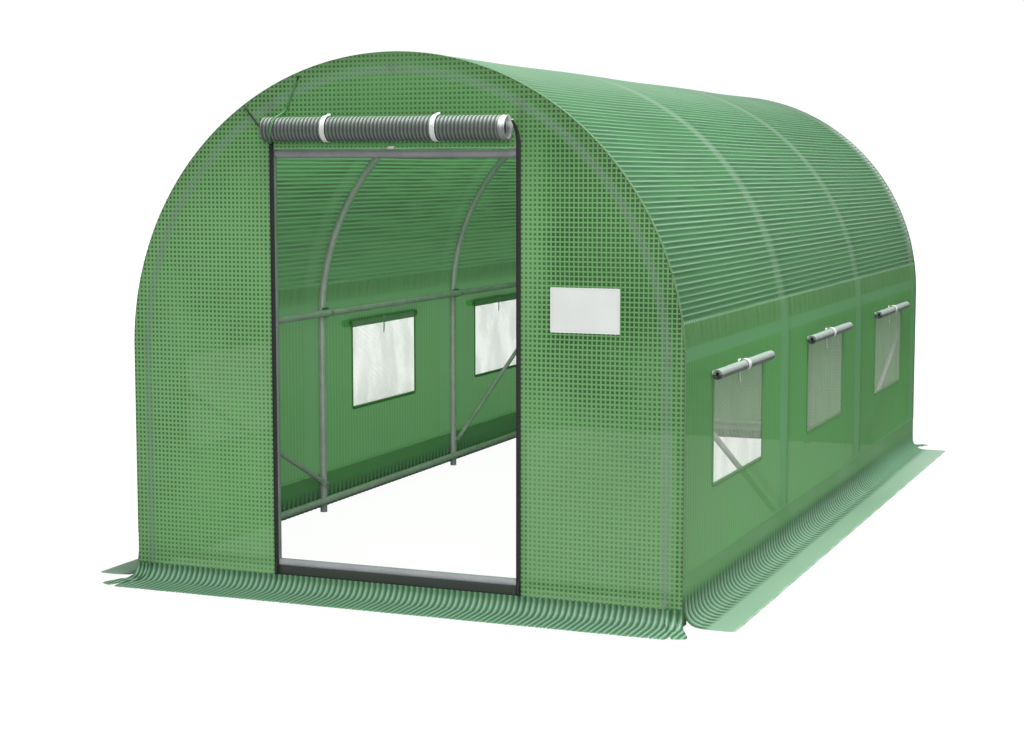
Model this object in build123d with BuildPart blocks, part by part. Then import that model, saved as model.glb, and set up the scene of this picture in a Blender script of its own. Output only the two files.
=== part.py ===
"""Polytunnel greenhouse: a steel tube frame of four round hoops under a reinforced green film cover.

Axes: X to the right, Y to the back, Z up. The door is in the front wall, at the -Y end.
All sizes are in millimetres. The ground is at Z = 0 and the middle of the plan is at X = Y = 0.
"""

import math
import os

from build123d import *

os.makedirs("parts", exist_ok=True)

# Overall cover
cover_width = 2200.0
cover_length = 4500.0
spring_height = 895.0
film_thickness = 1.5
film_clearance = 0.6
seam_rise = 160.0

# Frame tubes
tube_diameter = 32.0
tube_wall = 1.0
joint_gap = 0.3
hoop_count = 4
hoop_straight_end = 40.0
spigot_length = 55.0
spigot_clearance = 1.1
side_rail_rise = 30.0
saddle_gap = 5.0
saddle_size = 44.0
saddle_width = 30.0
side_base_rail_height = 62.0
end_base_rail_height = 103.0

# Braces
brace_diameter = 22.0
brace_wall = 1.0
brace_tongue_width = 31.0
brace_tongue_thickness = 3.0
brace_tongue_length = 34.0
brace_flattening = 34.0
brace_hole = 8.0
brace_drop = 95.0
brace_foot_height = 130.0

# Skirts laid out on the ground
skirt_reach = 190.0
skirt_flare_radius = 58.5
skirt_corner_radius = 22.0
side_strip_top = 175.0

# Door in the front wall
door_opening_width = 962.0
door_header_drop = 362.0
door_film_gap = 2.0
hem_height = 27.0
zip_width = 18.0
zip_thickness = 2.5
zip_rise = 43.0
zip_tail_rise = 146.0
zip_tail_width = 10.0

# Rolled-up door
door_roll_diameter = 92.0
door_roll_left_overhang = 5.0
door_roll_right_shortfall = 11.0
door_roll_rise = 89.0
door_roll_sheet = 9.0
door_roll_pitch = 10.4
door_roll_half_turns = 7
door_strap_width = 20.0
door_strap_thickness = 1.4
door_strap_places = (-233.0, 200.0)

# Tie cord over the left end of the door roll
tie_cord_diameter = 6.0
tie_knot_diameter = 12.0
tie_left_outset = 117.0
tie_right_inset = 109.5
tie_roll_inset = 64.0
tie_edge_margin = 10.0

# Windows in the side walls
window_width = 700.0
window_height = 390.0
window_drop = 60.0
window_shift = -50.0
window_corner_radius = 12.0
net_thickness = 1.0
window_roll_diameter = 40.0
window_roll_length = 830.0
window_roll_rise = 14.0
window_roll_sheet = 4.6
window_roll_pitch = 5.6
window_roll_half_turns = 5
window_tie_width = 26.0
window_tie_thickness = 1.2
window_tie_tail = 130.0
window_tie_tail_width = 14.0

# Name panel, left bare
panel_width = 256.0
panel_height = 158.0
panel_thickness = 2.0
panel_corner_radius = 4.0
panel_from_door = 257.0
panel_rise = 194.0

# Derived places
half_width = cover_width / 2
half_length = cover_length / 2
crown_height = spring_height + half_width
tube_radius = tube_diameter / 2
brace_radius = brace_diameter / 2
hoop_radius = half_width - film_thickness - film_clearance - tube_radius
hoop_joint_height = spring_height - hoop_straight_end
end_hoop_y = half_length - film_thickness - film_clearance - tube_radius
bay_length = 2 * end_hoop_y / (hoop_count - 1)
hoop_places = [-end_hoop_y + bay_length * n for n in range(hoop_count)]
rail_radius = hoop_radius - tube_diameter - saddle_gap
rail_angle = math.asin(side_rail_rise / rail_radius)
side_rail_x = rail_radius * math.cos(rail_angle)
side_rail_height = spring_height + side_rail_rise
rail_length = 2 * (end_hoop_y + tube_radius)
base_rail_x = hoop_radius - tube_diameter - joint_gap
door_half = door_opening_width / 2
door_post_x = door_half + tube_radius
door_header_height = crown_height - door_header_drop
door_film_edge = door_header_height + tube_radius + door_film_gap
zip_top = door_header_height + zip_rise
seam_angle = math.degrees(math.asin(seam_rise / half_width))
skirt_fold_height = film_thickness + skirt_flare_radius
inner_film_radius = half_width - film_thickness - film_clearance
window_middle = spring_height - window_drop - window_height / 2
window_roll_height = spring_height - window_drop + window_roll_rise
bay_centres = [
    (first + second) / 2 + window_shift
    for first, second in zip(hoop_places[:-1], hoop_places[1:])
]


def tube_ring(*places, outer=tube_radius, wall=tube_wall):
    """Cut section of a round tube at each place of the sketch."""
    with Locations(*places):
        Circle(outer)
        Circle(outer - wall, mode=Mode.SUBTRACT)


def polar(radius, angle):
    """Point at this distance and angle from the middle of the arch."""
    return (
        radius * math.cos(math.radians(angle)),
        spring_height + radius * math.sin(math.radians(angle)),
    )


def side_film_lines():
    """Section of the side film: straight above the strip, then round with the hoops."""
    inner = half_width - film_thickness
    Line((half_width, side_strip_top), (half_width, spring_height))
    CenterArc((0, spring_height), half_width, 0, seam_angle)
    Line(polar(half_width, seam_angle), polar(inner, seam_angle))
    CenterArc((0, spring_height), inner, 0, seam_angle)
    Line((inner, spring_height), (inner, side_strip_top))
    Line((inner, side_strip_top), (half_width, side_strip_top))


def skirt_lines(wall_place, strip_top):
    """Section of a skirt: a strip on the wall, a round flare and a flat edge on the ground."""
    inside = wall_place - film_thickness
    centre = wall_place + skirt_flare_radius
    edge = wall_place + skirt_reach
    CenterArc((centre, skirt_fold_height), skirt_flare_radius, 180, 90)
    Line((centre, film_thickness), (edge, film_thickness))
    Line((edge, film_thickness), (edge, 0))
    Line((edge, 0), (centre, 0))
    CenterArc((centre, skirt_fold_height), skirt_flare_radius + film_thickness, 180, 90)
    if strip_top > skirt_fold_height:
        Line((wall_place, strip_top), (wall_place, skirt_fold_height))
        Line((inside, skirt_fold_height), (inside, strip_top))
    Line((inside, strip_top), (wall_place, strip_top))


def scroll_lines(outer_radius, sheet, pitch, half_turns):
    """Section of a rolled-up sheet, wound inwards in half turns about two centres."""
    step = pitch / 2
    for turn in range(half_turns):
        centre = 0 if turn % 2 == 0 else -step
        start = 0 if turn % 2 == 0 else 180
        CenterArc((centre, 0), outer_radius - turn * step, start, 180)
        CenterArc((centre, 0), outer_radius - sheet - turn * step, start, 180)
    last_radius = outer_radius - (half_turns - 1) * step
    Line((outer_radius, 0), (outer_radius - sheet, 0))
    if half_turns % 2 == 0:
        Line((last_radius - step, 0), (last_radius - step - sheet, 0))
    else:
        Line((-last_radius, 0), (sheet - last_radius, 0))


# Round hoops, each one tube bent to a half circle, with ends reduced to push into the legs
spigot_radius = tube_radius - tube_wall - spigot_clearance
with BuildPart() as hoop_template:
    with BuildSketch(Plane.XY.offset(spring_height)):
        tube_ring((hoop_radius, 0))
    revolve(axis=Axis((0, 0, spring_height), (0, -1, 0)), revolution_arc=180)
    with BuildSketch(Plane.XY.offset(hoop_joint_height)):
        tube_ring((hoop_radius, 0), (-hoop_radius, 0))
    extrude(amount=hoop_straight_end)
    with BuildSketch(Plane.XY.offset(hoop_joint_height)):
        tube_ring((hoop_radius, 0), (-hoop_radius, 0), wall=tube_radius - spigot_radius + tube_wall)
    extrude(amount=tube_wall * 2)
    with BuildSketch(Plane.XY.offset(hoop_joint_height - spigot_length)):
        tube_ring((hoop_radius, 0), (-hoop_radius, 0), outer=spigot_radius)
    extrude(amount=spigot_length)

hoop_names = ("hoop_front", "hoop_second", "hoop_third", "hoop_rear")
hoops = []
for hoop_name, place in zip(hoop_names, hoop_places):
    with BuildPart() as hoop:
        with Locations((0, place, 0)):
            add(hoop_template.part)
    hoops.append((hoop_name, hoop.part))

# Straight legs under the hoops
with BuildPart() as right_legs:
    with BuildSketch(Plane.XY):
        tube_ring(*[(hoop_radius, place) for place in hoop_places])
    extrude(amount=hoop_joint_height)

# Rails along the tunnel
with BuildPart() as right_side_rail:
    with BuildSketch(Plane.XZ.offset(-rail_length / 2)):
        tube_ring((side_rail_x, side_rail_height))
    extrude(amount=rail_length)

with BuildPart() as ridge_rail:
    with BuildSketch(Plane.XZ.offset(-rail_length / 2)):
        tube_ring((0, spring_height + rail_radius))
    extrude(amount=rail_length)

with BuildPart() as right_base_rail:
    with BuildSketch(Plane.XZ.offset(-rail_length / 2)):
        tube_ring((base_rail_x, side_base_rail_height))
    extrude(amount=rail_length)


def saddle_row(angle):
    """Saddles between the hoops and a rail that lies at this angle above the spring line."""
    middle = (hoop_radius + rail_radius) / 2
    depth = saddle_gap + tube_radius
    turned = Plane(
        origin=(
            middle * math.cos(angle),
            0,
            spring_height + middle * math.sin(angle),
        ),
        x_dir=(0, 1, 0),
        z_dir=(math.cos(angle), 0, math.sin(angle)),
    )
    with BuildPart() as row:
        with BuildSketch(turned.offset(-depth / 2)):
            with Locations(*[(place, 0) for place in hoop_places]):
                RectangleRounded(saddle_width, saddle_size, 5)
        extrude(amount=depth)
        for place in hoop_places:
            with BuildSketch(Plane.XY.offset(spring_height)):
                with Locations((hoop_radius, place)):
                    Circle(tube_radius + joint_gap)
            revolve(
                axis=Axis((0, 0, spring_height), (0, -1, 0)),
                revolution_arc=180,
                mode=Mode.SUBTRACT,
            )
        with BuildSketch(Plane.XZ.offset(-half_length)):
            with Locations((rail_radius * math.cos(angle), spring_height + rail_radius * math.sin(angle))):
                Circle(tube_radius + joint_gap)
        extrude(amount=cover_length, mode=Mode.SUBTRACT)
    return row.part


right_rail_saddles = saddle_row(rail_angle)
ridge_saddles = saddle_row(math.pi / 2)

# Base rails across the two ends, between the legs and the door posts
end_rail_inner = door_post_x - tube_radius - joint_gap
end_rail_outer_start = door_post_x + tube_radius + joint_gap
end_rail_outer_end = hoop_radius - tube_radius - joint_gap
with BuildPart() as front_base_rail:
    with BuildSketch(Plane.YZ.offset(-end_rail_inner)):
        tube_ring((-end_hoop_y, end_base_rail_height))
    extrude(amount=2 * end_rail_inner)
    for start in (end_rail_outer_start, -end_rail_outer_end):
        with BuildSketch(Plane.YZ.offset(start)):
            tube_ring((-end_hoop_y, end_base_rail_height))
        extrude(amount=end_rail_outer_end - end_rail_outer_start)

# End posts that rise from the ground to the hoop
end_post_top = spring_height + math.sqrt(hoop_radius ** 2 - door_post_x ** 2)
with BuildPart() as front_right_post:
    with BuildSketch(Plane.XY):
        tube_ring((door_post_x, -end_hoop_y))
    extrude(amount=end_post_top)
    with BuildSketch(Plane.XY.offset(spring_height)):
        with Locations((hoop_radius, -end_hoop_y)):
            Circle(tube_radius + joint_gap)
    revolve(
        axis=Axis((0, 0, spring_height), (0, -1, 0)),
        revolution_arc=180,
        mode=Mode.SUBTRACT,
    )

with BuildPart() as door_header:
    with BuildSketch(Plane.YZ.offset(-end_rail_inner)):
        tube_ring((-end_hoop_y, door_header_height))
    extrude(amount=2 * end_rail_inner)

# Slanting braces in the first and the last bay of each side, their ends pressed flat
brace_x = hoop_radius - tube_radius - joint_gap - brace_tongue_thickness / 2
brace_rise = side_rail_height - brace_drop - brace_foot_height
brace_length = math.hypot(bay_length, brace_rise)
brace_plane = Plane(
    origin=(brace_x, hoop_places[0], side_rail_height - brace_drop),
    x_dir=(1, 0, 0),
    z_dir=(0, bay_length, -brace_rise),
)
tongue_plane = Plane(
    origin=(brace_x - brace_tongue_thickness / 2, brace_plane.origin.Y, brace_plane.origin.Z),
    x_dir=(0, bay_length, -brace_rise),
    z_dir=(1, 0, 0),
)
tube_start = brace_tongue_length + brace_flattening
with BuildPart() as right_braces:
    with BuildSketch(brace_plane.offset(tube_start)):
        Circle(brace_radius)
        Circle(brace_radius - brace_wall, mode=Mode.SUBTRACT)
    extrude(amount=brace_length - 2 * tube_start)
    for near, far in (
        (tube_start, brace_tongue_length),
        (brace_length - tube_start, brace_length - brace_tongue_length),
    ):
        with BuildSketch(brace_plane.offset(near)):
            Circle(brace_radius)
        with BuildSketch(brace_plane.offset(far)):
            RectangleRounded(brace_tongue_thickness, brace_tongue_width, brace_tongue_thickness / 2.1)
        loft()
    with BuildSketch(tongue_plane):
        for end, inward in ((0, 1), (brace_length, -1)):
            with Locations((end + inward * brace_tongue_length / 2, 0)):
                Rectangle(brace_tongue_length, brace_tongue_width)
            with Locations((end, 0)):
                Circle(brace_tongue_width / 2)
                Circle(brace_hole / 2, mode=Mode.SUBTRACT)
    extrude(amount=brace_tongue_thickness)
    mirror(about=Plane.XZ)

# Film cover
with BuildPart() as roof_cover:
    with BuildSketch(Plane.XZ.offset(-half_length)):
        with BuildLine():
            outer_arc = CenterArc((0, spring_height), half_width, seam_angle, 180 - 2 * seam_angle)
            inner_arc = CenterArc((0, spring_height), half_width - film_thickness, seam_angle, 180 - 2 * seam_angle)
            Line(outer_arc @ 0, inner_arc @ 0)
            Line(outer_arc @ 1, inner_arc @ 1)
        make_face()
    extrude(amount=cover_length)

with BuildPart() as right_side_wall:
    with BuildSketch(Plane.XZ.offset(-half_length)):
        with BuildLine():
            side_film_lines()
        make_face()
    extrude(amount=cover_length)
    with BuildSketch(Plane.YZ.offset(half_width - 10)):
        with Locations(*[(centre, window_middle) for centre in bay_centres]):
            RectangleRounded(window_width, window_height, window_corner_radius)
    extrude(amount=20, mode=Mode.SUBTRACT)

with BuildPart() as front_right_wall:
    with BuildSketch(Plane.XZ.offset(half_length)):
        with BuildLine():
            Line((door_half, skirt_fold_height), (inner_film_radius, skirt_fold_height))
            Line((inner_film_radius, skirt_fold_height), (inner_film_radius, spring_height))
            edge_angle = math.degrees(math.acos(door_half / inner_film_radius))
            wall_arc = CenterArc((0, spring_height), inner_film_radius, 0, edge_angle)
            Line(wall_arc @ 1, (door_half, skirt_fold_height))
        make_face()
    extrude(amount=-film_thickness)

with BuildPart() as wall_over_door:
    with BuildSketch(Plane.XZ.offset(half_length)):
        with BuildLine():
            over_arc = CenterArc((0, spring_height), inner_film_radius, edge_angle, 180 - 2 * edge_angle)
            Line(over_arc @ 0, (door_half, door_film_edge))
            Line((door_half, door_film_edge), (-door_half, door_film_edge))
            Line((-door_half, door_film_edge), over_arc @ 1)
        make_face()
    extrude(amount=-film_thickness)

with BuildPart() as rear_wall:
    with BuildSketch(Plane.XZ.offset(-half_length)):
        with BuildLine():
            Line((inner_film_radius, spring_height), (inner_film_radius, skirt_fold_height))
            Line((inner_film_radius, skirt_fold_height), (-inner_film_radius, skirt_fold_height))
            Line((-inner_film_radius, skirt_fold_height), (-inner_film_radius, spring_height))
            CenterArc((0, spring_height), inner_film_radius, 0, 180)
        make_face()
    extrude(amount=film_thickness)

with BuildPart() as right_skirt:
    with BuildSketch(Plane.XZ.offset(-half_length)):
        with BuildLine():
            skirt_lines(half_width, side_strip_top)
        make_face()
    extrude(amount=cover_length)
    fillet(right_skirt.edges().filter_by(Axis.Z).group_by(Axis.X)[-1], radius=skirt_corner_radius)

with BuildPart() as rear_skirt:
    with BuildSketch(Plane.YZ.offset(film_thickness - half_width)):
        with BuildLine():
            skirt_lines(half_length, skirt_fold_height)
        make_face()
    extrude(amount=cover_width - 2 * film_thickness)
    fillet(rear_skirt.edges().filter_by(Axis.Z).group_by(Axis.Y)[-1], radius=skirt_corner_radius)

# Door fittings
with BuildPart() as door_sill_hem:
    with BuildSketch(Plane.XZ.offset(half_length)):
        with Locations((0, skirt_fold_height + hem_height / 2)):
            Rectangle(door_opening_width, hem_height)
    extrude(amount=-film_thickness)

zip_outer = door_half + zip_width
zip_tail_top = door_header_height + zip_tail_rise
door_roll_right = door_half - door_roll_right_shortfall
zip_tail_inner = door_roll_right + zip_tail_width / 2
with BuildPart() as right_door_zip:
    with BuildSketch(Plane.XZ.offset(half_length)):
        with BuildLine():
            Polyline(
                (door_half, skirt_fold_height),
                (zip_outer, skirt_fold_height),
                (zip_outer, zip_top),
                (zip_tail_inner + zip_tail_width, zip_tail_top),
                (zip_tail_inner, zip_tail_top),
                (door_half, zip_top),
                close=True,
            )
        make_face()
    extrude(amount=zip_thickness)

with BuildPart() as left_door_zip:
    with BuildSketch(Plane.XZ.offset(half_length)):
        with Locations((-door_half - zip_width / 2, (skirt_fold_height + zip_top) / 2)):
            Rectangle(zip_width, zip_top - skirt_fold_height)
    extrude(amount=zip_thickness)

# Rolled-up door, its straps and the cord that ties it
door_roll_radius = door_roll_diameter / 2
door_roll_left = -door_half - door_roll_left_overhang
door_roll_height = door_header_height + door_roll_rise
door_roll_y = -half_length - door_roll_radius - door_strap_thickness - 2 * joint_gap
cord_radius = tie_cord_diameter / 2
knot_place = (
    -door_half - zip_width / 2,
    -half_length - joint_gap - tie_knot_diameter / 2,
    zip_top + joint_gap + tie_knot_diameter / 2,
)
cord_y = -half_length - joint_gap - cord_radius
tie_edge_radius = inner_film_radius - tie_edge_margin
left_tie_x = -door_half - tie_left_outset
right_tie_x = -door_half + tie_right_inset
left_tie_z = spring_height + math.sqrt(tie_edge_radius**2 - left_tie_x**2)
right_tie_z = spring_height + math.sqrt(tie_edge_radius**2 - right_tie_x**2)

roll_end_plane = Plane(
    origin=(door_roll_right, door_roll_y, door_roll_height),
    x_dir=(0, 1, 0),
    z_dir=(-1, 0, 0),
)
with BuildPart() as door_roll:
    with BuildSketch(roll_end_plane):
        with BuildLine():
            scroll_lines(door_roll_radius, door_roll_sheet, door_roll_pitch, door_roll_half_turns)
        make_face()
    extrude(amount=door_roll_right - door_roll_left)

with BuildPart() as door_roll_straps:
    for place in door_strap_places:
        with BuildSketch(Plane.YZ.offset(place - door_strap_width / 2)):
            tube_ring(
                (door_roll_y, door_roll_height),
                outer=door_roll_radius + joint_gap + door_strap_thickness,
                wall=door_strap_thickness,
            )
        extrude(amount=door_strap_width)

cord_over_roll = door_roll_radius + cord_radius + joint_gap
cord_corner = cord_over_roll / math.cos(math.radians(15))
cord_top_x = knot_place[0] + tie_roll_inset
cord_slip = tie_roll_inset - tie_knot_diameter
cord_wrap = []
for step in range(8):
    angle = math.radians(90 + 30 * step)
    share = (step + 1) / 8
    cord_wrap.append(
        (
            cord_top_x - cord_slip * share**2,
            door_roll_y + cord_corner * math.cos(angle),
            door_roll_height + cord_corner * math.sin(angle),
        )
    )
with BuildPart() as door_tie_cord:
    with Locations(knot_place):
        Sphere(tie_knot_diameter / 2)
    with BuildLine() as left_strand:
        Line((left_tie_x, cord_y, left_tie_z), (knot_place[0], cord_y, knot_place[2]))
    with BuildSketch(Plane(origin=left_strand.line @ 0, z_dir=left_strand.line % 0)):
        Circle(cord_radius)
    sweep(path=left_strand.line)
    with BuildLine() as right_strand:
        FilletPolyline(
            (right_tie_x, cord_y, right_tie_z),
            (cord_top_x, cord_y, door_roll_height + door_roll_diameter * 0.75),
            *cord_wrap,
            knot_place,
            radius=cord_radius * 3,
        )
    with BuildSketch(Plane(origin=right_strand.line @ 0, z_dir=right_strand.line % 0)):
        Circle(cord_radius)
    sweep(path=right_strand.line)

# Windows
with BuildPart() as right_window_nets:
    with BuildSketch(Plane.YZ.offset(half_width - film_thickness)):
        with Locations(*[(centre, window_middle) for centre in bay_centres]):
            RectangleRounded(window_width, window_height, window_corner_radius)
    extrude(amount=net_thickness)

window_roll_radius = window_roll_diameter / 2
window_roll_x = half_width + window_roll_radius + window_tie_thickness + 2 * joint_gap
with BuildPart() as right_window_rolls:
    for centre in bay_centres:
        window_roll_end = Plane(
            origin=(window_roll_x, centre - window_roll_length / 2, window_roll_height),
            x_dir=(-1, 0, 0),
            z_dir=(0, 1, 0),
        )
        with BuildSketch(window_roll_end):
            with BuildLine():
                scroll_lines(window_roll_radius, window_roll_sheet, window_roll_pitch, window_roll_half_turns)
            make_face()
        extrude(amount=window_roll_length)

with BuildPart() as right_window_ties:
    for centre in bay_centres:
        with BuildSketch(Plane.XZ.offset(-(centre + window_tie_width / 2))):
            tube_ring(
                (window_roll_x, window_roll_height),
                outer=window_roll_radius + joint_gap + window_tie_thickness,
                wall=window_tie_thickness,
            )
        extrude(amount=window_tie_width)
        with BuildSketch(Plane.YZ.offset(half_width + joint_gap)):
            with Locations((centre, window_roll_height - window_tie_tail / 2)):
                Rectangle(window_tie_tail_width, window_tie_tail)
        extrude(amount=window_tie_thickness)

# Name panel, left bare
with BuildPart() as name_panel:
    with BuildSketch(Plane.XZ.offset(half_length)):
        with Locations((door_half + panel_from_door, spring_height + panel_rise)):
            RectangleRounded(panel_width, panel_height, panel_corner_radius)
    extrude(amount=panel_thickness)


def mirrored(part, plane):
    """The same piece on the other side of the tunnel."""
    with BuildPart() as twin:
        add(part)
        mirror(about=plane, mode=Mode.REPLACE)
    return twin.part


pieces = dict(hoops)
pieces["right_legs"] = right_legs.part
pieces["left_legs"] = mirrored(right_legs.part, Plane.YZ)
pieces["right_side_rail"] = right_side_rail.part
pieces["left_side_rail"] = mirrored(right_side_rail.part, Plane.YZ)
pieces["ridge_rail"] = ridge_rail.part
pieces["right_base_rail"] = right_base_rail.part
pieces["left_base_rail"] = mirrored(right_base_rail.part, Plane.YZ)
pieces["right_rail_saddles"] = right_rail_saddles
pieces["left_rail_saddles"] = mirrored(right_rail_saddles, Plane.YZ)
pieces["ridge_saddles"] = ridge_saddles
pieces["front_base_rail"] = front_base_rail.part
pieces["rear_base_rail"] = mirrored(front_base_rail.part, Plane.XZ)
pieces["right_door_post"] = front_right_post.part
pieces["left_door_post"] = mirrored(front_right_post.part, Plane.YZ)
pieces["rear_right_post"] = mirrored(front_right_post.part, Plane.XZ)
pieces["rear_left_post"] = mirrored(pieces["rear_right_post"], Plane.YZ)
pieces["door_header"] = door_header.part
pieces["rear_crossbar"] = mirrored(door_header.part, Plane.XZ)
pieces["right_braces"] = right_braces.part
pieces["left_braces"] = mirrored(right_braces.part, Plane.YZ)
pieces["roof_cover"] = roof_cover.part
pieces["right_side_wall"] = right_side_wall.part
pieces["left_side_wall"] = mirrored(right_side_wall.part, Plane.YZ)
pieces["front_wall_right"] = front_right_wall.part
pieces["front_wall_left"] = mirrored(front_right_wall.part, Plane.YZ)
pieces["front_wall_over_door"] = wall_over_door.part
pieces["rear_wall"] = rear_wall.part
pieces["right_skirt"] = right_skirt.part
pieces["left_skirt"] = mirrored(right_skirt.part, Plane.YZ)
pieces["rear_skirt"] = rear_skirt.part
pieces["front_skirt"] = mirrored(rear_skirt.part, Plane.XZ)
pieces["door_sill_hem"] = door_sill_hem.part
pieces["right_door_zip"] = right_door_zip.part
pieces["left_door_zip"] = left_door_zip.part
pieces["door_roll"] = door_roll.part
pieces["door_roll_straps"] = door_roll_straps.part
pieces["door_tie_cord"] = door_tie_cord.part
pieces["right_window_nets"] = right_window_nets.part
pieces["left_window_nets"] = mirrored(right_window_nets.part, Plane.YZ)
pieces["right_window_rolls"] = right_window_rolls.part
pieces["left_window_rolls"] = mirrored(right_window_rolls.part, Plane.YZ)
pieces["right_window_ties"] = right_window_ties.part
pieces["left_window_ties"] = mirrored(right_window_ties.part, Plane.YZ)
pieces["name_panel"] = name_panel.part

for name, part in pieces.items():
    part.label = name
    export_step(part, f"parts/{name}.step")
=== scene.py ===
"""Polytunnel greenhouse: film cover, rolled door, windows, frame finishes, lights and camera."""

import math

import bmesh
import bpy
from bpy.props import FloatProperty, FloatVectorProperty, IntProperty, PointerProperty
from mathutils import Matrix, Vector


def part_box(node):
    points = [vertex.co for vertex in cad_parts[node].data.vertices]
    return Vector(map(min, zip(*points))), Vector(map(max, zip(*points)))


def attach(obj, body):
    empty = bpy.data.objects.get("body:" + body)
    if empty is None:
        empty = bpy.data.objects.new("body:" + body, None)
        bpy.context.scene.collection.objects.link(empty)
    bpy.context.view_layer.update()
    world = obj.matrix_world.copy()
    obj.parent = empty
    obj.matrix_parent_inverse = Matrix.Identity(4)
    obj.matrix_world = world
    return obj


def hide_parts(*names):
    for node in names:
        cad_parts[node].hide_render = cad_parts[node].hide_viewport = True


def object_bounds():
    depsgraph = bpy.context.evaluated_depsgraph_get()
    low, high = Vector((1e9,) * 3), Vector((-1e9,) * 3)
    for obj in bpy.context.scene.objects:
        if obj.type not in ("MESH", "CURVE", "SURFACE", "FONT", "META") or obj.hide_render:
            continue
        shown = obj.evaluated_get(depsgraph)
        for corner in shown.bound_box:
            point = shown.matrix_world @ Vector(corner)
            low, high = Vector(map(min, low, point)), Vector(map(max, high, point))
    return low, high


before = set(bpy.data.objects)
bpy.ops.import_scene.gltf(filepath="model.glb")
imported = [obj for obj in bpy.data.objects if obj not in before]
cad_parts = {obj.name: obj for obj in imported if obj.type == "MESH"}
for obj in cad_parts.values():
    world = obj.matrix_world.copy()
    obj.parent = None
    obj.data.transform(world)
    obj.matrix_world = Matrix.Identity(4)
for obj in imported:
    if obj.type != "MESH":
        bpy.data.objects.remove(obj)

bl_info = {
    "name": "Polytunnel greenhouse",
    "version": (1, 0, 0),
    "blender": (4, 5, 0),
    "location": "View3D > Sidebar > Tunnel",
    "description": "Makes the film cover, door, windows and finishes of a polytunnel greenhouse",
    "category": "Object",
}

# Places and sizes that come from the frame, in metres

CAD_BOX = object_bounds()
SIDE_LOW, SIDE_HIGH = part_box("right_side_wall")
ROOF_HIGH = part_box("roof_cover")[1]
NETS_LOW, NETS_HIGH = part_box("right_window_nets")
ROLLS_LOW, ROLLS_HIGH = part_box("right_window_rolls")
ROLL_LOW, ROLL_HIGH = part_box("door_roll")
STRAPS_LOW, STRAPS_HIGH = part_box("door_roll_straps")
PANEL_LOW, PANEL_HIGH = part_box("name_panel")
RAIL_LOW, RAIL_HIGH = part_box("right_side_rail")
BRACES_LOW, BRACES_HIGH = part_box("right_braces")
HOOPS = [
    (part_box(name)[0][1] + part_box(name)[1][1]) / 2
    for name in ("hoop_front", "hoop_second", "hoop_third", "hoop_rear")
]
BAY = HOOPS[1] - HOOPS[0]
HALF_WIDTH = SIDE_HIGH[0]
HALF_LENGTH = ROOF_HIGH[1]
CROWN = ROOF_HIGH[2]
SPRING = CROWN - HALF_WIDTH
ARCH = (0.0, 0.0, SPRING)
SEAM = SIDE_HIGH[2]
SEAM_ANGLE = math.asin((SEAM - SPRING) / HALF_WIDTH)
STRIP_TOP = SIDE_LOW[2]
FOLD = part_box("front_wall_right")[0][2]
SKIRT_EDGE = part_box("right_skirt")[1][0]
DOOR_HALF = -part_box("front_wall_left")[1][0]
DOOR_FILM_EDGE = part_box("front_wall_over_door")[0][2]
ROLL_Y = (ROLL_LOW[1] + ROLL_HIGH[1]) / 2
ROLL_Z = (STRAPS_LOW[2] + STRAPS_HIGH[2]) / 2
ROLL_RADIUS = (ROLL_HIGH[1] - ROLL_LOW[1]) / 2
RAIL_Z = (RAIL_LOW[2] + RAIL_HIGH[2]) / 2
NET_X = (NETS_LOW[0] + NETS_HIGH[0]) / 2
NET_Z = (NETS_LOW[2] + NETS_HIGH[2]) / 2
NET_HEIGHT = NETS_HIGH[2] - NETS_LOW[2]
BODY = "root"

# Sizes of the film, hems and tapes, in metres

FILM_INSET = 0.0008
FILM_RADIUS = HALF_WIDTH - FILM_INSET
END_GRID = 0.05
END_SKIRT_HALF = HALF_WIDTH - 0.0015
SKIRT_REACH = 0.190
SKIRT_CORNER = 0.022
CORNER_FOLD = 0.060
CORNER_FOLD_TURN = math.radians(24)
CORNER_TUCK = 0.050
WELT_WIDTH = 0.020
WINDOW_WIDTH = 0.700
WINDOW_HEM = 0.016
WINDOW_FLAP = 0.770
WINDOW_ROLL_LENGTH = 0.830
WINDOWS = [NETS_LOW[1] + WINDOW_WIDTH / 2 + BAY * number for number in range(3)]
TIE_WIDTH = 0.038
TAIL_WIDTH = 0.012
STRAP_WIDTH = 0.020
TAB_WIDTH = 0.026
TAPE = 0.0014
ZIP_WIDTH = 0.018
TOOTH_PITCH = 0.0050
CORD_RADIUS = 0.0030
THICK_CORD_RADIUS = 0.0038
KNOT_RADIUS = 0.006

# Rows in the roof film, and how strongly its ribs stand out between two shares of its height

ROWS_A_RIB = 5
ROOF_COLUMNS = 48
ROOF_RIB_SHARES = ((0.0, 0.30, 0.7), (0.30, 0.80, 1.0), (0.80, 0.92, 0.7), (0.92, 1.1, 0.4))

# The floor as the camera sees it, nearly white by the tunnel and all white away from it

FLOOR_WHITENESS = 0.74
FLOOR_FADE_START = 3.2
FLOOR_FADE_END = 6.0
PLAIN_WHITE_STRENGTH = 1.30

# Colours of the marks on film, tape and cord, among them painted light, painted shade and painted images
# of tubes behind the film

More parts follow.
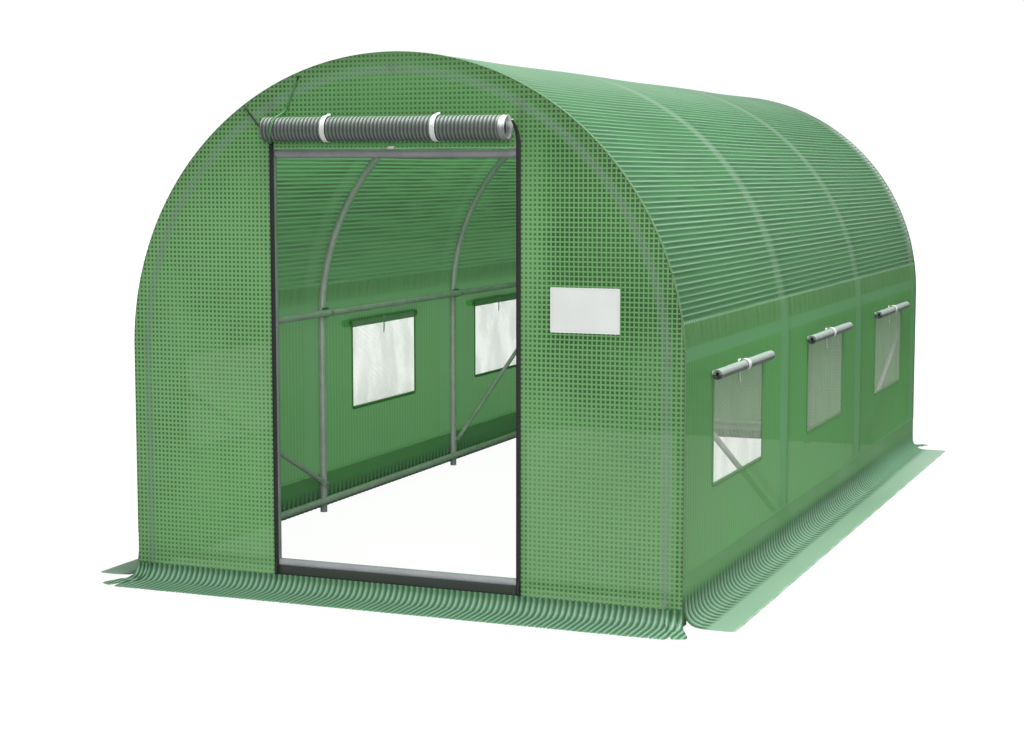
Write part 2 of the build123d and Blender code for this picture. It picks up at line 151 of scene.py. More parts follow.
CROWN_SHEEN = (0.310, 0.440, 0.345)
# Painted image of a hoop seen through the roof film
HOOP_BAND = (0.340, 0.455, 0.370)
# Painted glint of light through the roof film near its rear edge
REAR_EDGE_GLINT = (0.900, 0.930, 0.910)
# Painted image of the front hoop seen through an end film
TUBE_BEHIND_END = (0.260, 0.350, 0.285)
CUT_EDGE = (0.380, 0.600, 0.380)
SIDE_TOP = (0.070, 0.130, 0.058)
# Painted image of the legs and the side rail seen through a side film
TUBE_BEHIND_SIDE = (0.210, 0.430, 0.275)
FLAP_SEAM = (0.700, 0.770, 0.720)
STITCH = (0.450, 0.680, 0.480)
SKIRT_FLAT = (0.300, 0.460, 0.335)
SKIRT_FAR = (0.450, 0.660, 0.500)
SKIRT_FOOT = (0.055, 0.155, 0.068)
END_SKIRT_FOOT = (0.120, 0.280, 0.165)
# Painted shade at the bend of the front and rear skirts
END_SKIRT_BEND_SHADE = (0.030, 0.165, 0.045)
# Painted shade in the grooves of skirt ribs and painted highlight on their crests
SKIRT_GROOVE = (0.030, 0.110, 0.050)
SKIRT_CREST = (0.480, 0.680, 0.550)
LOOSE_THREAD = (0.860, 0.900, 0.870)
# The white hem of the door roll and the painted shade on its lower half
ROLL_HEM_SHADE = (0.230, 0.245, 0.240)
ROLL_HEM_TOP = (0.820, 0.840, 0.830)
PANEL_WHITE = (0.80, 0.83, 0.80)
PANEL_SHADE = (0.68, 0.72, 0.69)
ZINC = (0.52, 0.52, 0.50)
DULL_ZINC = (0.33, 0.33, 0.32)
TEETH = (0.020, 0.022, 0.020)
TEETH_SHINE = (0.045, 0.048, 0.045)
GREEN_CORD = (0.050, 0.160, 0.055)
WHITE = (1.0, 1.0, 1.0, 1.0)


# Sizes and colours that a user would change


class FilmSettings(bpy.types.PropertyGroup):
    """Sizes and colours of the film cover."""

    roof_ribs: IntProperty(
        name="Roof ribs", description="How many ribs the roof has from seam to seam", default=144
    )
    roof_rib_rise: FloatProperty(
        name="Roof rib rise",
        description="How far a roof rib stands out",
        default=0.0028,
        unit="LENGTH",
    )
    side_ribs: IntProperty(
        name="Side ribs", description="How many upright ribs a side film has", default=300
    )
    side_rib_rise: FloatProperty(
        name="Side rib rise",
        description="How far an upright rib stands out",
        default=0.0009,
        unit="LENGTH",
    )
    strand_pitch: FloatProperty(
        name="Strand pitch",
        description="Distance between the strands in the end films",
        default=0.0170,
        unit="LENGTH",
    )
    skirt_ribs: IntProperty(
        name="Skirt ribs", description="How many ribs a side skirt has", default=108
    )
    end_skirt_ribs: IntProperty(
        name="End skirt ribs", description="How many ribs the front or rear skirt has", default=96
    )
    skirt_rib_rise: FloatProperty(
        name="Skirt rib rise",
        description="How far a skirt rib stands out",
        default=0.0060,
        unit="LENGTH",
    )
    sag: FloatProperty(
        name="Roof sag",
        description="How far the roof film hangs in between two hoops",
        default=0.003,
        unit="LENGTH",
    )
    roof_colour: FloatVectorProperty(
        name="Roof film", description="Roof film between ribs",
        default=(0.100, 0.262, 0.130), subtype="COLOR"
    )
    roof_rib_colour: FloatVectorProperty(
        name="Roof rib", description="Crest of a roof rib",
        default=(0.500, 0.690, 0.540), subtype="COLOR"
    )
    # Painted shadow under each roof rib
    roof_rib_shadow_colour: FloatVectorProperty(
        name="Roof hollow", description="Film under a roof rib",
        default=(0.030, 0.110, 0.045), subtype="COLOR"
    )
    strand_colour: FloatVectorProperty(
        name="Strand", description="Strands of the end films",
        default=(0.290, 0.600, 0.255), subtype="COLOR"
    )
    # Painted dark of the shaded inside, seen through the holes of the end films
    end_hole_shade_colour: FloatVectorProperty(
        name="End film", description="End film between strands",
        default=(0.006, 0.034, 0.006), subtype="COLOR"
    )
    side_colour: FloatVectorProperty(
        name="Side film", description="Side film between ribs",
        default=(0.145, 0.370, 0.130), subtype="COLOR"
    )
    skirt_colour: FloatVectorProperty(
        name="Skirt film", description="Film laid out on the ground",
        default=(0.165, 0.370, 0.215), subtype="COLOR"
    )
    net_colour: FloatVectorProperty(
        name="Window net", description="Threads of the window nets",
        default=(0.640, 0.780, 0.600), subtype="COLOR"
    )


class DoorSettings(bpy.types.PropertyGroup):
    """Sizes and colours of the rolled door, its straps and zips."""

    roll_ribs: IntProperty(
        name="Roll ribs", description="How many ribs the rolled door has", default=64
    )
    roll_rib_rise: FloatProperty(
        name="Roll rib rise",
        description="How far a rib of the rolled door stands out",
        default=0.0022,
        unit="LENGTH",
    )
    sheet: FloatProperty(
        name="Rolled sheet",
        description="Thickness of the rolled door sheet",
        default=0.0018,
        unit="LENGTH",
    )
    roll_colour: FloatVectorProperty(
        name="Rolled film", description="Film of the rolls",
        default=(0.140, 0.172, 0.152), subtype="COLOR"
    )
    tape_colour: FloatVectorProperty(
        name="Tape", description="White straps and hems",
        default=(0.800, 0.820, 0.800), subtype="COLOR"
    )
    zip_colour: FloatVectorProperty(
        name="Zip", description="Black zip tape and cord",
        default=(0.012, 0.014, 0.012), subtype="COLOR"
    )


class FrameSettings(bpy.types.PropertyGroup):
    """Colours of the steel frame and its small parts, and the size of the bolts."""

    steel_colour: FloatVectorProperty(
        name="Steel", description="Coated steel tube round the door",
        default=(0.290, 0.295, 0.315), subtype="COLOR"
    )
    inner_colour: FloatVectorProperty(
        name="Inner steel", description="Bare steel tube inside the tunnel",
        default=(0.800, 0.670, 0.800), subtype="COLOR"
    )
    plastic_colour: FloatVectorProperty(
        name="Plastic", description="Grey plastic saddles",
        default=(0.120, 0.125, 0.130), subtype="COLOR"
    )
    bolt_size: FloatProperty(
        name="Bolt size", description="Width of a bolt head", default=0.012, unit="LENGTH"
    )


class StageSettings(bpy.types.PropertyGroup):
    """The floor, the lights and the camera."""

    lens: FloatProperty(name="Lens", description="Focal length in millimetres", default=65.89)
    eye: FloatVectorProperty(
        name="Camera place",
        description="Where the camera stands",
        default=(2.930, -8.360, 1.577),
        subtype="TRANSLATION",
        unit="LENGTH",
    )
    turn: FloatVectorProperty(
        name="Camera turn",
        description="How the camera is turned",
        default=(math.radians(84.01), 0.0, math.radians(21.97)),
        subtype="EULER",
    )
    floor_colour: FloatVectorProperty(
        name="Floor", description="Pale floor", default=(0.400, 0.400, 0.400), subtype="COLOR"
    )
    sky: FloatProperty(name="Sky", description="Strength of the light all round", default=0.42)
    key: FloatProperty(
        name="Key light", description="Power of the overhead light", default=820.0, unit="POWER"
    )
    fill: FloatProperty(
        name="Fill light", description="Power of the front light", default=230.0, unit="POWER"
    )


# Finishes


class Shade:
    """A value that varies over a surface and can stand in a sum."""

    def __init__(self, finish, socket):
        self.finish = finish
        self.socket = socket

    def __add__(self, other):
        return self.finish.sum("ADD", self, other)

    __radd__ = __add__

    def __sub__(self, other):
        return self.finish.sum("SUBTRACT", self, other)

    def __rsub__(self, other):
        return self.finish.sum("SUBTRACT", other, self)

    def __mul__(self, other):
        return self.finish.sum("MULTIPLY", self, other)

    __rmul__ = __mul__

    def __truediv__(self, other):
        return self.finish.sum("DIVIDE", self, other)

    def __rtruediv__(self, other):
        return self.finish.sum("DIVIDE", other, self)

    def __abs__(self):
        return self.finish.sum("ABSOLUTE", self)

    def output(self, name):
        """Another output of the same node."""
        return Shade(self.finish, self.socket.node.outputs[name])


class Finish:
    """The nodes of one material."""

    def __init__(self, name):
        self.material = bpy.data.materials.new(name)
        self.material.use_nodes = True
        self.tree = self.material.node_tree
        self.tree.nodes.clear()

    def node(self, kind, settings, sockets, out=0):
        """Adds a node with its settings, and with values or links in its sockets."""
        made = self.tree.nodes.new(kind)
        for name, value in settings.items():
            setattr(made, name, value)
        for key, value in sockets.items():
            if isinstance(value, Shade):
                self.tree.links.new(value.socket, made.inputs[key])
            else:
                made.inputs[key].default_value = value
        return Shade(self, made.outputs[out])

    def sum(self, operation, *values):
        """A Math node of this operation on the values."""
        return self.node("ShaderNodeMath", {"operation": operation}, dict(enumerate(values)))

    def place(self):
        """Where a point lies on the tunnel, in metres."""
        point = self.node("ShaderNodeTexCoord", {}, {}, "Object")
        apart = self.node("ShaderNodeSeparateXYZ", {}, {0: point}, "X")
        return apart, apart.output("Y"), apart.output("Z")

    def between(self, value, low, high, start=0.0, end=1.0):
        """Start below low, end above high, and a soft step between them."""
        return self.node(
            "ShaderNodeMapRange",
            {"interpolation_type": "SMOOTHSTEP"},
            {0: value, 1: low, 2: high, 3: start, 4: end},
        )

    def below(self, value, low, high):
        """1 below low, 0 above high, and a soft step between them."""
        return self.between(value, low, high, 1.0, 0.0)

    def line(self, value, pitch, width, soft):
        """1 on lines of this width at every pitch, 0 between them."""
        across = abs(self.sum("WRAP", value / pitch, 0.5, -0.5)) * pitch
        return self.below(across, width / 2 - soft / 2, width / 2 + soft / 2)

    def grid(self, first, second, pitch, width, soft):
        """1 on the lines of a square grid, 0 in its holes."""
        return self.sum("MAXIMUM", *(self.line(value, pitch, width, soft) for value in (first, second)))

    def cloud(self, scale, detail=2.0, stretch=(1.0, 1.0, 1.0), low=0.0, high=1.0):
        """Soft uneven patches, in patches a metre."""
        point = self.node("ShaderNodeTexCoord", {}, {}, "Object")
        point = self.node("ShaderNodeMapping", {}, {"Vector": point, "Scale": stretch})
        noise = self.node("ShaderNodeTexNoise", {}, {"Vector": point, "Scale": scale, "Detail": detail})
        return self.between(noise, 0.36, 0.64, low, high)

    def blend(self, share, first, second):
        """The first colour where share is 0 and the second where it is 1."""
        first, second = (c if isinstance(c, Shade) else (*c, 1.0) for c in (first, second))
        return self.node("ShaderNodeMix", {"data_type": "RGBA"}, {0: share, 6: first, 7: second}, 2)

    def paint(self, colour, *coats):
        """Lays colours over a first one, each by its share of the surface."""
        for share, over in coats:
            colour = self.blend(share, colour, over)
        return colour

    def coat(
        self, colour, roughness, height=None, rise=0.001, alpha=None, through=0.0, glow=None, **fixed
    ):
        """The surface: colour, roughness, relief, see-through and the light that comes through."""
        sockets = {"Roughness": roughness}
        sockets["Base Color"] = colour if isinstance(colour, Shade) else (*colour, 1.0)
        if height is not None:
            relief = {"Strength": 1.0, "Distance": rise, "Height": height}
            sockets["Normal"] = self.node("ShaderNodeBump", {}, relief)
        if alpha is not None:
            sockets["Alpha"] = alpha
        for name, value in fixed.items():
            sockets[name.replace("_", " ")] = value
        shown = self.node("ShaderNodeBsdfPrincipled", {}, sockets)
        if through:
            back = self.node("ShaderNodeBsdfTranslucent", {}, {"Color": (*glow, 1.0)})
            shown = self.node("ShaderNodeMixShader", {}, {0: through, 1: shown, 2: back})
        self.end(shown)
        return self.material

    def end(self, shown):
        """Makes this the surface of the material."""
        last = self.tree.nodes.new("ShaderNodeOutputMaterial")
        self.tree.links.new(shown.socket, last.inputs["Surface"])


def shaded(colour, share):
    """A colour made darker or paler."""
    return [c * share for c in colour]


def steel_finish(name, colour):
    """Coated steel tube, slightly mottled, with fine scratches along it."""
    finish = Finish(name)
    mottle = finish.cloud(9.0, 4.0)
    grain = finish.cloud(140.0, 2.0)
    tone = finish.blend(mottle * 0.5 + grain * 0.25, colour, shaded(colour, 0.72))
    return finish.coat(tone, 0.36 + mottle * 0.14, grain, 0.0002, Metallic=0.25)


def plastic_finish():
    """Grey moulded plastic with a fine grain."""
    finish = Finish("grey_plastic")
    colour = bpy.context.scene.tunnel_frame.plastic_colour
    grain = finish.cloud(420.0, 2.0)
    tone = finish.blend(finish.cloud(30.0), colour, shaded(colour, 1.35))
    return finish.coat(tone, 0.42 + grain * 0.15, grain, 0.0003)


def bolt_finish():
    """Zinc plated bolts."""
    finish = Finish("zinc_bolts")
    grain = finish.cloud(260.0, 3.0)
    tone = finish.blend(grain, ZINC, DULL_ZINC)
    return finish.coat(tone, 0.28 + grain * 0.2, grain, 0.0001, Metallic=0.8)


def roof_finish():
    """Film with a pale thread on each rib, a painted shadow under it, soft painted bands where the hoops
    show through, and painted shade, sheen and glints.
    """
    finish = Finish("roof_film")
    film = bpy.context.scene.tunnel_film
    x, y, z = finish.place()
    pitch = FILM_RADIUS * (math.pi - 2 * SEAM_ANGLE) / film.roof_ribs
    along = finish.sum("ARCTAN2", z - SPRING, abs(x)) * FILM_RADIUS - SEAM_ANGLE * FILM_RADIUS
    uneven = finish.cloud(5.0, 3.0, (6.0, 0.5, 6.0))
    patch = finish.cloud(1.3, 2.0)
    plain = finish.between(z, CROWN - 0.22, CROWN - 0.03, 1.0, 0.30)
    low = finish.below(z, SEAM + 0.02, SEAM + 0.40)
    rib = finish.line(along - pitch * 0.06, pitch, 0.0044, 0.0044) * plain
    # The hollow under each rib, painted as the rib's shadow and fainter low on the roof
    hollow = finish.line(along + pitch * 0.40, pitch, 0.0108, 0.0060) * plain * (1 - low * 0.35)
    # Painted image of each hoop seen through the film, a little before the hoop
    band = finish.line(y - HOOPS[0] + 0.10, BAY, 0.100, 0.060)
    # Painted glints of light through the film between the ribs near the rear edge
    rear_glint = finish.between(y, HALF_LENGTH - 0.15, HALF_LENGTH - 0.02) * hollow
    rear_glint = rear_glint * finish.between(x, 0.50, 0.75) * finish.between(z, SEAM, SEAM + 0.12)
    tone = finish.paint(
        film.roof_colour,
        (patch * 0.5, shaded(film.roof_colour, 1.3)),
        # Painted shade low on the roof and towards its front end
        (low * 0.55, shaded(film.roof_colour, 0.55)),
        (finish.between(y, -1.9, 1.6, 0.24, 0.0), shaded(film.roof_colour, 0.35)),
        (1 - plain, CROWN_SHEEN),
        # Painted shadow under the ribs
        (hollow * (0.55 + uneven * 0.45), film.roof_rib_shadow_colour),
        (rib * (0.60 + uneven * 0.40) * (1 - low * 0.25), film.roof_rib_colour),
        (band * 0.42, HOOP_BAND),
        # Painted glints near the rear edge
        (rear_glint, REAR_EDGE_GLINT),
    )
    return finish.coat(
        tone, 0.40 + patch * 0.12, finish.cloud(300.0, 2.0), 0.0002, alpha=0.975 + rib * 0.02,
        through=0.46 - hollow * (0.10 + uneven * 0.20), glow=(0.21, 0.60, 0.22), Specular_IOR_Level=0.30,
    )


def end_finish():
    """Film over a square grid of pale strands, partly clear between them and painted dark there for the
    shaded inside, with painted shade and a painted front hoop.
    """
    finish = Finish("end_film")
    film = bpy.context.scene.tunnel_film
    x, y, z = finish.place()
    patch = finish.cloud(2.0, 3.0)
    light = finish.cloud(0.9, 2.0)
    up = finish.sum("MAXIMUM", z - SPRING, 0.0)
    reach = finish.sum("SQRT", x * x + up * up)
    # Painted image of the front hoop seen through the film
    hoop = finish.below(abs(reach - HALF_WIDTH + 0.062), 0.008, 0.024)
    # Right of the door, thinner strands and darker holes: painted shade of the inside seen through the
    # film
    dark_inside_part = finish.between(x, 0.50, 0.66) * finish.below(z, 1.55, 1.85)
    dark_inside_part = dark_inside_part * finish.below(y, -0.1, 0.1) * (0.35 + finish.between(z, 0.80, 1.15) * 0.65)
    right = finish.between(x, 0.35, 0.95) * 0.5 + dark_inside_part * 0.4
    thick = 0.0089 - dark_inside_part * 0.0036 - patch * 0.0014
    strand = finish.grid(x, z, film.strand_pitch, thick, 0.0026)
    # The holes between strands are painted dark for the shaded inside seen through them
    hole = (1 - strand) * (0.56 + patch * 0.20 + dark_inside_part * 0.24)
    edge = finish.below(z, DOOR_FILM_EDGE + 0.003, DOOR_FILM_EDGE + 0.006)
    edge = edge * finish.below(abs(x), DOOR_HALF - 0.002, DOOR_HALF)
    # Strands darker in soft patches, and painted shade to the right of the door and towards the top
    shade = light * 0.40 + right * 0.25 + finish.between(z, 1.35, 1.75) * 0.55
    tone = finish.paint(
        film.strand_colour,
        (shade, shaded(film.strand_colour, 0.62)),
        (hole, film.end_hole_shade_colour),
        (hoop * (0.52 - hole * 0.20), TUBE_BEHIND_END),
        (edge * 0.8, CUT_EDGE),
    )
    return finish.coat(
        tone, 0.42 + light * 0.1, strand, 0.0010, alpha=0.985 - hole * 0.10,
        through=0.31 - hole * 0.27, glow=(0.13, 0.46, 0.12), Specular_IOR_Level=0.16,
    )


def side_finish():
    """Clearer film with fine upright ribs, painted shade in its folds and painted images of the legs and
    rail behind it.
    """
    finish = Finish("side_film")
    film = bpy.context.scene.tunnel_film
    x, y, z = finish.place()
    pitch = 2 * HALF_LENGTH / film.side_ribs
    patch = finish.cloud(1.6, 2.0)
    streak = finish.cloud(1.0, 3.0, (1.0, 26.0, 3.0))
    rib = finish.line(y - HALF_LENGTH, pitch, 0.0060, 0.0050)
    # Painted shade in the fold at every other rib
    fold = finish.line(y - HALF_LENGTH, pitch * 2, pitch * 0.8, pitch * 0.7)
    # Painted images of the legs and the side rail seen through the film
    leg = finish.line(y - HOOPS[0] + 0.075, BAY, 0.125, 0.030)
    rail = finish.below(abs(z - RAIL_Z - 0.018), 0.020, 0.030)
    tube = finish.sum("MAXIMUM", leg, rail)
    high = finish.between(z, SPRING + 0.03, SEAM - 0.04)
    low = finish.below(z, STRIP_TOP + 0.010, STRIP_TOP + 0.016)
    flap_seam = finish.line(y - WINDOWS[0], BAY, WINDOW_WIDTH, 0.010)
    flap_seam = flap_seam * finish.below(abs(z - NETS_HIGH[2] - 0.011), 0.010, 0.013)
    stitch = finish.between(z, SEAM - 0.008, SEAM - 0.005) * finish.line(y, 0.030, 0.018, 0.006)
    tone = finish.paint(
        film.side_colour,
        (patch * 0.5, shaded(film.side_colour, 1.3)),
        (high * (0.55 + streak * 0.45), SIDE_TOP),
        # Painted shade in the folds
        (fold * (1 - low) * 0.60, shaded(film.side_colour, 0.40)),
        (tube * (0.60 - high * 0.25), TUBE_BEHIND_SIDE),
        (rib * (0.14 + high * 0.24), film.strand_colour),
        (flap_seam * 0.85, FLAP_SEAM),
        (stitch * 0.80, STITCH),
    )
    return finish.coat(
        tone, 0.34 + patch * 0.1, rib, 0.0004, alpha=0.94 + high * 0.03 + low * 0.04,
        through=0.40 - high * 0.12, glow=(0.16, 0.58, 0.16), Specular_IOR_Level=0.20,
    )


def skirt_finish(axis):
    """Film laid out on the ground, ribbed across with painted shade in the grooves and painted highlights
    on the crests, and with loose thread ends at its edge.
    """
    finish = Finish("skirt_film_" + axis)
    film = bpy.context.scene.tunnel_film
    x, y, z = finish.place()
    side = axis == "y"
    along, out, edge, half, ribs = (
        (y, abs(x), SKIRT_EDGE, HALF_LENGTH, film.skirt_ribs)
        if side
        else (x, abs(y), CAD_BOX[1][1], END_SKIRT_HALF, film.end_skirt_ribs)
    )
    pitch = 2 * half / ribs
    foot = edge - SKIRT_REACH + FOLD
    patch = finish.cloud(1.7, 3.0)
    # Painted highlight along each crest and painted shade in each groove
    crest = finish.line(along + half, pitch, pitch * 0.26, pitch * 0.34)
    groove = finish.line(along + half - pitch * 0.5, pitch, pitch * 0.42, pitch * 0.40)
    thread = finish.line(along, pitch * (0.43 if side else 0.62), 0.0060, 0.0030)
    thread = thread * finish.between(out, edge - 0.014, edge - 0.009) * finish.cloud(7.0, 2.0)
    if side:
        steep = finish.between(z, 0.050, 0.095)
        flat = finish.between(out, foot - 0.010, foot + 0.030)
        ribbed = finish.below(z, 0.070, 0.125) * finish.below(out, foot, foot + 0.035)
        ribbed = ribbed * finish.between(y, 0.6, 1.5, 1.0, 0.12)
        laid = (
            (flat * 0.75, SKIRT_FLAT),
            (finish.between(y, 0.4, 2.0) * flat * 0.75, SKIRT_FAR),
            (ribbed * 0.85, SKIRT_FOOT),
        )
    else:
        steep = finish.between(z, 0.026, 0.050)
        ribbed = finish.between(out, edge - 0.060, edge, 1.0, 0.45)
        # Painted shade at the bend of the front and rear skirts
        laid = ((ribbed * 0.60, END_SKIRT_FOOT), (steep * 0.85, END_SKIRT_BEND_SHADE))
    tone = finish.paint(
        film.skirt_colour,
        (patch * 0.5, shaded(film.skirt_colour, 1.22)),
        (steep * 0.90, shaded(film.side_colour, 0.92)),
        *laid,
        # Painted shade in the grooves and painted highlights on the crests
        (groove * ribbed * 0.90, SKIRT_GROOVE),
        (crest * ribbed * (0.66 - steep * 0.26), SKIRT_CREST),
        (thread * 0.9, LOOSE_THREAD),
    )
    return finish.coat(
        tone, 0.36 + patch * 0.1, crest, 0.0003, alpha=0.985, through=0.15, glow=(0.12, 0.40, 0.14),
        Specular_IOR_Level=0.12 if side else 0.30,
    )


def hem_finish(name, share, through):
    """Doubled film along hems, welts and window edges, as a share of the strands' colour."""
    finish = Finish(name)
    colour = shaded(bpy.context.scene.tunnel_film.strand_colour, share)
    weave = finish.cloud(220.0, 2.0)
    tone = finish.blend(weave, colour, shaded(colour, 0.72))
    return finish.coat(tone, 0.42, weave, 0.0002, through=through, glow=(0.20, 0.46, 0.21))


def net_finish():
    """Fine clear net with whitish threads."""
    finish = Finish("window_net")
    colour = bpy.context.scene.tunnel_film.net_colour
    x, y, z = finish.place()
    thread = finish.grid(y, z, 0.006, 0.0018, 0.0012)
    crease = finish.cloud(8.0, 3.0, (1.0, 1.0, 0.5))
    tone = finish.blend(crease, colour, shaded(colour, 0.86))
    return finish.coat(tone, 0.5, thread, 0.0004, alpha=0.20 + thread * 0.38 + crease * 0.12)


def roll_finish(axis, pitch, start, middle, radius, hem=None):
    """Rolled film in painted light and shade: pale and lit on top, painted dark in the middle and in the
    grooves, and grey below.
    """
    finish = Finish("rolled_film_" + axis)
    colour = bpy.context.scene.tunnel_door.roll_colour
    x, y, z = finish.place()
    along = x if axis == "x" else y
    height = (z - middle) / radius
    crest = finish.line(along - start, pitch, pitch * 0.34, pitch * 0.36)
    uneven = finish.cloud(24.0, 3.0)
    # The top of a roll is painted as lit
    top = finish.between(height, 0.30, 0.72)
    if axis == "x":
        # Painted shade round the middle of the door roll
        waist = finish.below(abs(height - 0.02), 0.10, 0.42)
        tone = finish.paint(
            colour,
            (uneven * 0.4, shaded(colour, 0.80)),
            (waist * 0.55, shaded(colour, 0.40)),
            # Painted shade in the grooves and painted highlights on the crests, brighter on top
            ((1 - crest) * 0.74, shaded(colour, 0.24)),
            (crest * (0.16 + top * 0.72), shaded(colour, 2.5)),
        )
    else:
        tone = finish.paint(
            shaded(colour, 2.1),
            (uneven * 0.4, shaded(colour, 1.6)),
            # Painted light on top and painted shade under the window rolls
            (top * 0.45, shaded(colour, 2.8)),
            (finish.below(height, -0.16, 0.08) * 0.90, shaded(colour, 0.30)),
        )
    if hem is not None:
        # The white hem, with painted shade on its lower half
        band = finish.blend(finish.between(height, -0.15, 0.45), ROLL_HEM_SHADE, ROLL_HEM_TOP)
        tone = finish.blend(finish.between(along, hem, hem + 0.002), tone, band)
    return finish.coat(tone, 0.42 + uneven * 0.12, finish.cloud(180.0, 2.0), 0.0003)


def tape_finish():
    """White woven tape."""
    finish = Finish("white_tape")
    x, y, z = finish.place()
    colour = bpy.context.scene.tunnel_door.tape_colour
    weave = finish.line(x + z, 0.0024, 0.0012, 0.0010)
    tone = finish.blend(weave * 0.6 + finish.cloud(30.0) * 0.3, colour, shaded(colour, 0.78))
    return finish.coat(tone, 0.62, weave, 0.0004)


def zip_finish(name="zip_tape", share=1.0):
    """Black woven tape, as a share of the zip's colour."""
    finish = Finish(name)
    x, y, z = finish.place()
    colour = shaded(bpy.context.scene.tunnel_door.zip_colour, share)
    weave = finish.line(z + x * 0.5, 0.0020, 0.0010, 0.0008)
    tone = finish.blend(weave * 0.7, colour, shaded(colour, 2.4))
    return finish.coat(tone, 0.58 + weave * 0.2, weave, 0.0003)


def teeth_finish():
    """Black moulded zip teeth and slider."""
    finish = Finish("zip_teeth")
    grain = finish.cloud(300.0, 2.0)
    tone = finish.blend(grain, TEETH, TEETH_SHINE)
    return finish.coat(tone, 0.25 + grain * 0.2, grain, 0.0001)


def cord_finish(name, colour):
    """Twisted cord."""
    finish = Finish(name)
    x, y, z = finish.place()
    lay = finish.line(z * 0.8 + x, 0.0045, 0.0022, 0.0018)
    tone = finish.blend(lay * 0.8, colour, shaded(colour, 2.2))
    return finish.coat(tone, 0.66, lay, 0.0008)


def panel_finish():
    """Bare white sheet with a soft welded border."""
    finish = Finish("white_panel")
    x, y, z = finish.place()
    middle_x = (PANEL_LOW[0] + PANEL_HIGH[0]) / 2
    middle_z = (PANEL_LOW[2] + PANEL_HIGH[2]) / 2
    half_x = (PANEL_HIGH[0] - PANEL_LOW[0]) / 2
    half_z = (PANEL_HIGH[2] - PANEL_LOW[2]) / 2
    rim = finish.sum("MINIMUM", half_x - abs(x - middle_x), half_z - abs(z - middle_z))
    weld = finish.between(rim, 0.004, 0.006) * finish.below(rim, 0.009, 0.011)
    wave = finish.cloud(7.0, 3.0)
    tone = finish.blend(wave * 0.35 + weld * 0.35, PANEL_WHITE, PANEL_SHADE)
    return finish.coat(tone, 0.36 + wave * 0.1, wave * 0.7 - weld * 0.3, 0.0008)


# Modelling by hand


def clear():
    """Nothing is being edited and nothing is selected."""
    if bpy.context.mode != "OBJECT":
        bpy.ops.object.mode_set(mode="OBJECT")
    bpy.ops.object.select_all(action="DESELECT")


def choose(*pieces):
    """Selects these pieces alone, the first of them as the active one."""
    clear()
    for piece in pieces:
        piece.select_set(True)
    bpy.context.view_layer.objects.active = pieces[0]


def named(name):
    """Gives the piece that was just made its name."""
    piece = bpy.context.object
    piece.name = piece.data.name = name
    return piece


def edit(piece):
    """Opens a piece for editing, with nothing selected in it."""
    choose(piece)
    bpy.ops.object.mode_set(mode="EDIT")
    bpy.ops.mesh.select_mode(type="VERT")
    bpy.ops.mesh.select_all(action="DESELECT")


def pick(piece, test):
    """Selects the corners of the edited piece whose place passes the test."""
    mesh = bmesh.from_edit_mesh(piece.data)
    for part in (mesh.faces, mesh.edges, mesh.verts):
        for each in part:
            each.select = False
    for corner in mesh.verts:
        corner.select = bool(test(corner.co))
    mesh.select_flush(True)
    bmesh.update_edit_mesh(piece.data)


def pick_faces(piece, test):
    """Selects the faces of the edited piece whose middle and normal pass the test."""
    bpy.ops.mesh.select_mode(type="FACE")
    mesh = bmesh.from_edit_mesh(piece.data)
    for face in mesh.faces:
        face.select = bool(test(face.calc_center_median(), face.normal))
    mesh.select_flush(True)
    bmesh.update_edit_mesh(piece.data)


def everything():
    """Selects all of the edited piece."""
    bpy.ops.mesh.select_all(action="SELECT")


def shift(x=0.0, y=0.0, z=0.0):
    """Moves what is selected."""
    bpy.ops.transform.translate(value=(x, y, z))


def widen(x=1.0, y=1.0, z=1.0, **about):
    """Scales what is selected, about its own middle or a given centre."""
    bpy.ops.transform.resize(value=(x, y, z), **about)


def draw_out(x=0.0, y=0.0, z=0.0):
    """Extrudes what is selected."""
    bpy.ops.mesh.extrude_region_move(TRANSFORM_OT_translate={"value": (x, y, z)})


def puff(amount):
    """Moves what is selected along its own normals."""
    bpy.ops.transform.shrink_fatten(value=amount)


def start_line(name, axis, length, place, cuts):
    """A straight row of corners along one axis, from which a sheet is drawn out."""
    clear()
    bpy.ops.mesh.primitive_plane_add(size=1.0)
    piece = named(name)
    edit(piece)
    pick(piece, lambda c: c.x < 0)
    bpy.ops.mesh.delete(type="VERT")
    everything()
    shift(x=-0.5)
    widen(y=length)
    if axis != "Y":
        about = "Z" if axis == "X" else "X"
        bpy.ops.transform.rotate(value=math.pi / 2, orient_axis=about, center_override=(0.0, 0.0, 0.0))
    shift(*place)
    for number in cuts:
        everything()
        bpy.ops.mesh.subdivide(number_cuts=number)
    everything()
    return piece


def turn_round(centre, axis, angle, steps):
    """Spins the selected row of corners about a centre, by the right-hand rule."""
    bpy.ops.mesh.spin(steps=steps, angle=-angle, center=centre, axis=axis)


def roll_up(centre, inward, axis, half_turns, parts):
    """Spins the selected row inwards in half turns about two centres."""
    for turn in range(half_turns):
        turn_round(Vector(centre) + Vector(inward) * (turn % 2), axis, math.pi, parts)


def cut_across(piece, axis, places):
    """Cuts the whole edited piece with planes across one axis."""
    normal = {"X": (1, 0, 0), "Y": (0, 1, 0), "Z": (0, 0, 1)}[axis]
    for place in places:
        everything()
        bpy.ops.mesh.bisect(plane_co=[n * place for n in normal], plane_no=normal)


def cut_off(point, normal, side="outer"):
    """Cuts off all that lies beyond a plane."""
    everything()
    bpy.ops.mesh.bisect(
        plane_co=point, plane_no=normal, clear_outer=side == "outer", clear_inner=side == "inner"
    )


def join(pieces, name):
    """Joins pieces into one."""
    choose(*pieces)
    if len(pieces) > 1:
        bpy.ops.object.join()
    return named(name)


def settle(piece):
    """Puts a piece's place, turn and size into its mesh."""
    choose(piece)
    bpy.ops.object.transform_apply(location=True, rotation=True, scale=True)


